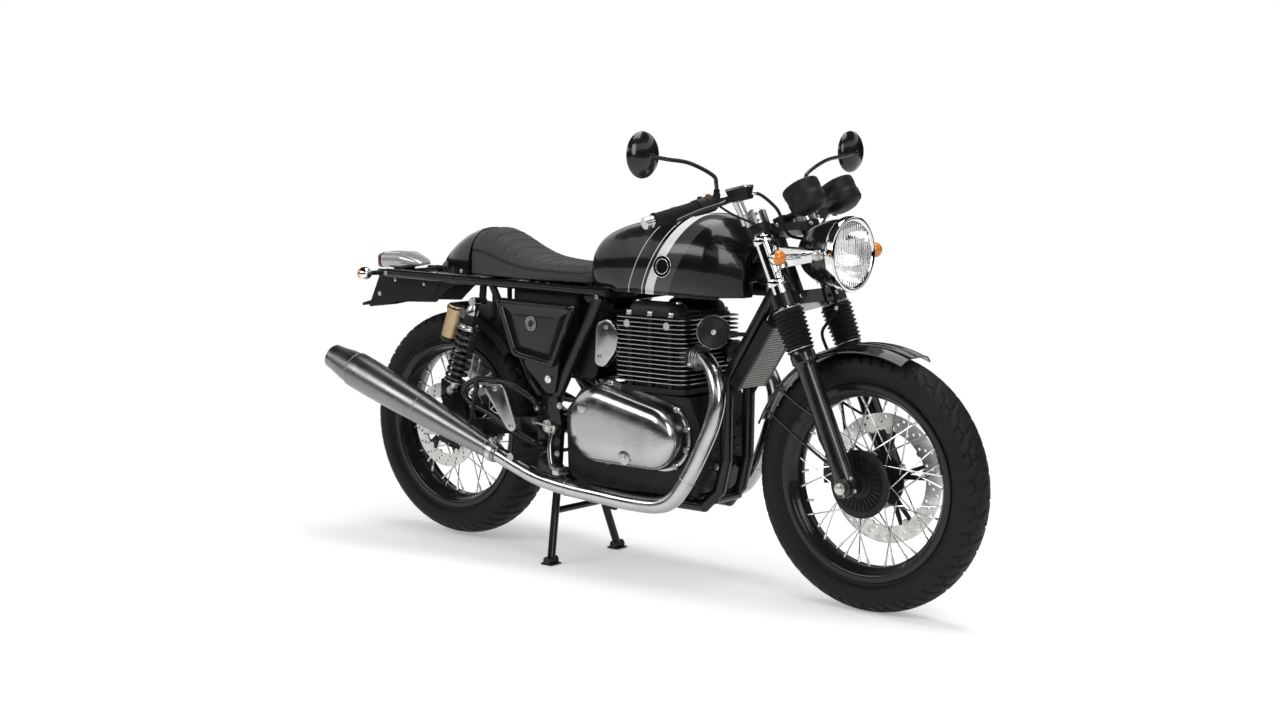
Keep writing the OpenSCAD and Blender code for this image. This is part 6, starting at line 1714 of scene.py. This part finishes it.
bars = [along_bar([(20, 11), (262, 11)])]
bars.append(along_bar([(0, 13), (1.5, 15), (14, 15), (16, 12.5), (18, 12.5), (20, 15), (26, 15), (27.6, 14)]))
bars.append(up_leg([(21, 667.5), (28, 667.5), (29.5, 669), (29.5, 699), (28, 701), (21, 701)], LEG_Y, 48))
clip = fork_at(-26, 105, 683)
bars.append(tube([clip, clip.lerp(bar_root, 0.3), bar_root + (bar_root - clip).normalized() * 2],
                 [14, 12, 13.4], 24))
bars.append(tube([bar_root + bar_run * d for d in (-12, -10, 10, 13)], [13, 14.4, 14.4, 12], 28))
make_piece("clip_on_bars", both_sides(bars), satin_alloy, "steering", stands_for=["handlebars"])
clip_screws = cap_screw(bar_root + Vector((4, 4, 13)), (0, 0, 1), 4.4, 4)
for z in (676, 692):
    clip_screws += cap_screw(fork_at(22, 122, z), (0.5, 0.8, 0.1), 4, 6)
make_piece("clip_on_screws", both_sides(clip_screws), zinc_bolt, "steering", bevel=0.3)
grip_profile = [(28.3, 18.6), (31, 19.4), (34, 18.6), (35.5, 16.8)]
for k in range(18):
    d = 37 + k * 5.7
    grip_profile += [(d, 17.1), (d + 3.4, 17.1), (d + 4.0, 16.3), (d + 5.1, 16.3)]
grip_profile += [(141, 17.2), (143, 19.2), (148, 19.8), (150, 18.4)]
grips = both_sides([along_bar(grip_profile, 36)])
make_piece("bar_grips", grips, plug_rubber, "steering", ["grips"], crease=30)

housing = [along_bar([(152, 17), (154, 20), (176, 20.6), (177.4, 19.6), (179, 20.6), (200, 20), (206, 17)],
                     28)]
housing += [tube([(400, 186, 985), (432, 176, 992)], [11, 9], 20), tube([(406, 182, 984), (406, 182, 1008)],
                                                                        9, 20)]
housing.append(tube([(432, 176, 984), (432, 176, 1000)], 7, 16))
lever_route = smooth_path([(432, 176, 992), (440, 200, 986), (416, 262, 968), (396, 330, 944)], 8)
lever_radii = [8.5 - 3.6 * min(1, k / 10) for k in range(len(lever_route))]
lever_radii[-1] += 2.8
lever = [tube(lever_route, lever_radii, 16), tube([(396, 330, 937), (396, 330, 951)], 6.4, 16)]
pot_turn = Matrix.Translation((462, -162, 1008)) @ Matrix.Rotation(math.radians(-12), 4, "Y")


def pot_block(x, y, levels):
    """Block with rounded corners in the reservoir's own frame: each level is (height, scale)."""
    edge = rounded([(-x, -y), (x, -y), (x, y), (-x, y)], 7)
    return placed(skinned([[(px * k, py * k, z) for px, py in edge] for z, k in levels]), pot_turn)


pot = [pot_block(31, 17, ((-16, 0.84), (-14, 0.92), (8, 1.0), (9, 1.04), (11, 1.05)))]
pot.append(tube([(430, -176, 992), (452, -168, 1000)], 9, 16))
pot_lid = pot_block(32.6, 18.6, ((11.2, 1.0), (15.4, 1.0), (16.8, 0.94)))
make_piece("switch_housings", both_sides(housing) + pot, soft_plastic, "steering",
           ["bar_controls"])
make_piece("bar_levers", both_sides(lever), leg_paint, "steering")
make_piece("reservoir_lid", [pot_lid], satin_alloy, "steering")
lid_screws = []
for x in (-25, 25):
    for y in (-11, 11):
        lid_screws += cap_screw(pot_turn @ Vector((x, y, 16.6)), (0.2, 0, 1), 2.6, 1.4)
make_piece("reservoir_screws", lid_screws, zinc_bolt, "steering")
buttons = []
button_out = Vector((-0.25, 0, 0.97))
for d in (166, 190):
    buttons.append(tube([bar_end + bar_run * d + button_out * h for h in (18, 23.4, 24.4)], [6, 6, 4.6], 20))
red_plastic = worn_finish("red_plastic", (0.5, 0.03, 0.015), (0.4, 0.03, 0.02), 0.35)
make_piece("red_buttons", [mirrored(buttons[1])], red_plastic, "steering")
make_piece("dark_buttons", [mirrored(buttons[0])] + buttons, hub_black, "steering")

# ---------------------------------------------------------------- mirrors
# Round black mirrors on thin bent stems: a domed moulded back, a rounded rim, and a silvered
# glass facing the rider. Each stem screws into its lever's perch with a lock nut.
stem_route = [(406, 182, 1008.3), (406, 184, 1030), (405, 196, 1052), (402, 280, 1082), (400, 360, 1092),
              (398, 415, 1099)]
mirror_parts = [tube(smooth_path(stem_route, 7), 5, 16), tube([(406, 182, 1008.3), (406, 182, 1018)], 8, 6)]
mirror_parts.append(tube([(398, 412, 1098.6), (392, 425, 1103)], [8, 11], 16))


def mirror_turned(profile):
    return shifted(placed(lathe(profile, 64), Matrix.Rotation(math.radians(-90), 4, "Z")), 382, 425, 1103)


mirror_parts.append(mirror_turned([(0.5, 20), (8, 19.6), (20, 18), (32, 14.6), (42, 10), (50, 4), (54, -1),
                                   (55, -5), (54, -7.6), (51.6, -8), (51, -6), (51, -4), (0.5, -4)]))
mirror_glass = mirror_turned([(0.5, -4.2), (50.8, -4.2), (50.8, -6.4), (49.6, -7), (0.5, -7.2)])
silvered = worn_finish("silvered_glass", (0.78, 0.79, 0.8), (0.74, 0.75, 0.76), 0.03, metallic=1.0,
                       spread=0.03, grain=60.0, height=0.00001)
make_piece("mirror_shells", both_sides(mirror_parts), leg_paint, "steering", ["mirrors"],
           crease=40)
make_piece("mirror_glasses", both_sides([mirror_glass]), silvered, "steering", crease=40)

# ---------------------------------------------------------------- hose and cables
# Black rubber brake hose from the lever's reservoir, clipped beside the lamp, down the left leg
# to the caliper, with crimped ends; and the throttle and clutch cables that loop to the frame.
hose_route = [(499, -162, 1012), (520, -150, 1004), (546, -124, 970), (548, -104, 932), (534, -56, 906),
              (530, 0, 896), (534, 46, 886), (546, 62, 846), (560, 60, 806), (580, 58, 770), (594, 56, 740),
              (592, 50, 712), (574, 47, 688), (554, 54, 658), (562, 74, 606), (584, 82, 540), (600, 82, 460),
              (614, 76, 400)]
caliper_a = math.radians(156)
hose_end = Vector(FRONT_AXLE) + polar(146, caliper_a, 68)
hose = smooth_path(hose_route + [hose_end - polar(d, caliper_a + math.pi / 2) for d in (10, 0.5)])
make_piece("brake_line", [tube(hose, 4)], plug_rubber, "steering", ["brake_hose"], crease=60)
crimps = [tube([hose[0], hose[3]], 5.4, 14), tube([hose[-1], hose[-4]], 5.4, 14)]
crimps += [tube([hose[i], hose[i + 2]], 5.8, 14) for i in (30, 62, 92)]
make_piece("brake_line_crimps", crimps, zinc_bolt, "steering", crease=40)
cables = [tube(smooth_path(route, 8), 3, 10) for route in ([(408, -188, 984), (452, -176, 958),
                                                            (492, -130, 930), (508, -80, 888),
                                                            (506, -54, 850)],
                                                           [(434, 184, 984), (478, 170, 962), (510, 120, 936),
                                                            (516, 60, 900), (508, 42, 856)])]
make_piece("control_cables", cables, plug_rubber, "steering", crease=60)

# ---------------------------------------------------------------- stands
# Centre stand of bent tube with flat feet and a tread lug, and a folding side stand that turns on
# a bolt and ends in a round rubber-edged shoe.
foot_edge = rounded([(-214, 2), (-208, 0.2), (-176, 0.2), (-169, 3), (-172, 7), (-210, 7)], 3)
feet = [swept_outline(foot_edge, s * 116, s * 154, 1.2) for s in SIDES]
make_piece("stand_feet", feet, frame_black, "parking_stand", crease=40)
tread = [tube([(-202, 100, 130), (-196, 124, 116), (-195, 134, 114)], [8, 7, 7], 14)]
make_piece("stand_tread_lug", tread, frame_black, "parking_stand", crease=40)
leg_turn = Matrix.Translation((-70, 116, 212)) @ Matrix.Rotation(math.radians(-65), 4, "X")
pivot_nut = [placed(p, leg_turn) for p in bolt((0, 0, 10), (0, 0, 1), 9, 6)]
make_piece("side_stand_pivot", pivot_nut, zinc_bolt, "prop_leg", bevel=0.5)
shoe = shifted(upright([(0.5, -13), (15, -13), (17, -11), (17, 11), (15, 13), (0.5, 13)], 32), 200, 0, 0)
shoe = placed(shoe, leg_turn @ Matrix.Rotation(math.radians(172), 4, "Z"))
make_piece("side_stand_shoe", [shoe], plug_rubber, "prop_leg")

# ---------------------------------------------------------------- camera
# Eye level a little above the tank, looking from the right front corner.
eye = bpy.data.cameras.new("view")
eye.sensor_width = 36.0
eye.lens = 54.77
eye.clip_end = 100.0
camera = bpy.data.objects.new("view", eye)
bpy.context.scene.collection.objects.link(camera)
yaw, pitch = 2.27737444, -0.118230662
forward = Vector((math.cos(pitch) * math.cos(yaw), math.cos(pitch) * math.sin(yaw), math.sin(pitch)))
camera.rotation_mode = "QUATERNION"
camera.rotation_quaternion = forward.to_track_quat("-Z", "Y")
camera.location = (3.3238, -3.8852, 1.1634)
bpy.context.scene.camera = camera

# ---------------------------------------------------------------- floor, backdrop and lamps
# Plain pale studio floor that runs to white and keeps the machine's soft shadow; broad soft
# lamps above and in front, and dark cards off to the sides that the bright metal reflects.
floor_mesh = bpy.data.meshes.new("floor")
floor_mesh.from_pydata([(-30, -30, 0), (30, -30, 0), (30, 30, 0), (-30, 30, 0)], [], [(0, 1, 2, 3)])
floor = bpy.data.objects.new("floor", floor_mesh)
bpy.context.scene.collection.objects.link(floor)
WHITE = (1, 1, 1, 1)


def seen_rays(tree):
    """1 for rays that the camera, a reflection or a glass sends, 0 for the rays that light the scene."""
    rays = put(tree, "LightPath").outputs
    mirrored_rays = math_node(tree, "MAXIMUM", rays["Is Glossy Ray"], rays["Is Transmission Ray"])
    return math_node(tree, "MAXIMUM", rays["Is Camera Ray"], mirrored_rays)


def blend(tree, share, a, b):
    return put(tree, "MixShader", {0: share, 1: a, 2: b}).outputs[0]


paper = bpy.data.materials.new("floor_paper")
paper.use_nodes = True
tree = paper.node_tree
tree.nodes.clear()
plain = put(tree, "BsdfDiffuse", {"Color": (0.80, 0.80, 0.80, 1)}).outputs[0]
lit = put(tree, "BsdfDiffuse", {"Color": (0.86, 0.86, 0.86, 1)}).outputs[0]
glow = put(tree, "Emission", {"Color": WHITE, "Strength": 0.32}).outputs[0]
both = put(tree, "AddShader", {0: lit, 1: glow}).outputs[0]
far = put(tree, "Emission", {"Color": WHITE}).outputs[0]
reach = put(tree, "VectorMath", {0: object_place(tree)}, operation="LENGTH").outputs["Value"]
away = math_node(tree, "MULTIPLY", math_node(tree, "SUBTRACT", reach, 1.25), 1.1, True)
put(tree, "OutputMaterial", {"Surface": blend(tree, seen_rays(tree), plain, blend(tree, away, both, far))})
floor_mesh.materials.append(paper)

world = bpy.data.worlds.new("studio")
bpy.context.scene.world = world
world.use_nodes = True
tree = world.node_tree
tree.nodes.clear()
room = put(tree, "Background", {"Color": WHITE, "Strength": 0.34}).outputs[0]
white = put(tree, "Background", {"Color": WHITE, "Strength": 1.0}).outputs[0]
put(tree, "OutputWorld", {"Surface": blend(tree, seen_rays(tree), room, white)})

for name, place, target, size, power in (("top_bank", (0.2, 0.4, 3.6), (0, 0, 0.4), (3.4, 1.8), 85),
                                         ("front_bank", (3.2, -1.6, 2.2), (0.2, 0, 0.5), (1.2, 2.2), 45),
                                         ("side_bank", (-1.6, -3.4, 2.4), (-0.2, 0, 0.5), (2.4, 1.2), 45)):
    data = bpy.data.lights.new(name, "AREA")
    data.shape = "RECTANGLE"
    data.size, data.size_y = size
    data.energy = power
    lamp = bpy.data.objects.new(name, data)
    bpy.context.scene.collection.objects.link(lamp)
    lamp.location = place
    lamp.rotation_mode = "QUATERNION"
    lamp.rotation_quaternion = (Vector(target) - Vector(place)).to_track_quat("-Z", "Y")


def upright_card(x0, y0, x1, y1, high):
    return [(x0, y0, -0.1), (x1, y1, -0.1), (x1, y1, high), (x0, y0, high)]


for name, corners, shade in (("card_right", upright_card(-9, -7, 9, -7, 3.4), 0.01),
                             ("card_front", upright_card(8, -9, 8, 9, 3.0), 0.015),
                             ("card_left", upright_card(-9, 7, 9, 7, 3.4), 0.01),
                             ("card_rear", upright_card(-8, -9, -8, 9, 1.7), 0.03),
                             ("card_above", [(-9, -9, 6.5), (9, -9, 6.5), (9, 9, 6.5), (-9, 9, 6.5)], 0.04)):
    mesh = bpy.data.meshes.new(name)
    mesh.from_pydata(corners, [], [(0, 1, 2, 3)])
    card = bpy.data.objects.new(name, mesh)
    bpy.context.scene.collection.objects.link(card)
    felt, _, shader = new_finish(name + "_felt", specular=0.0)
    shader.inputs["Base Color"].default_value = (shade, shade, shade, 1)
    shader.inputs["Roughness"].default_value = 1.0
    mesh.materials.append(felt)
    card.visible_camera = False
    card.visible_diffuse = False
    card.visible_shadow = False
    card.visible_transmission = False

bpy.context.scene.view_settings.view_transform = "Standard"
bpy.context.view_layer.update()
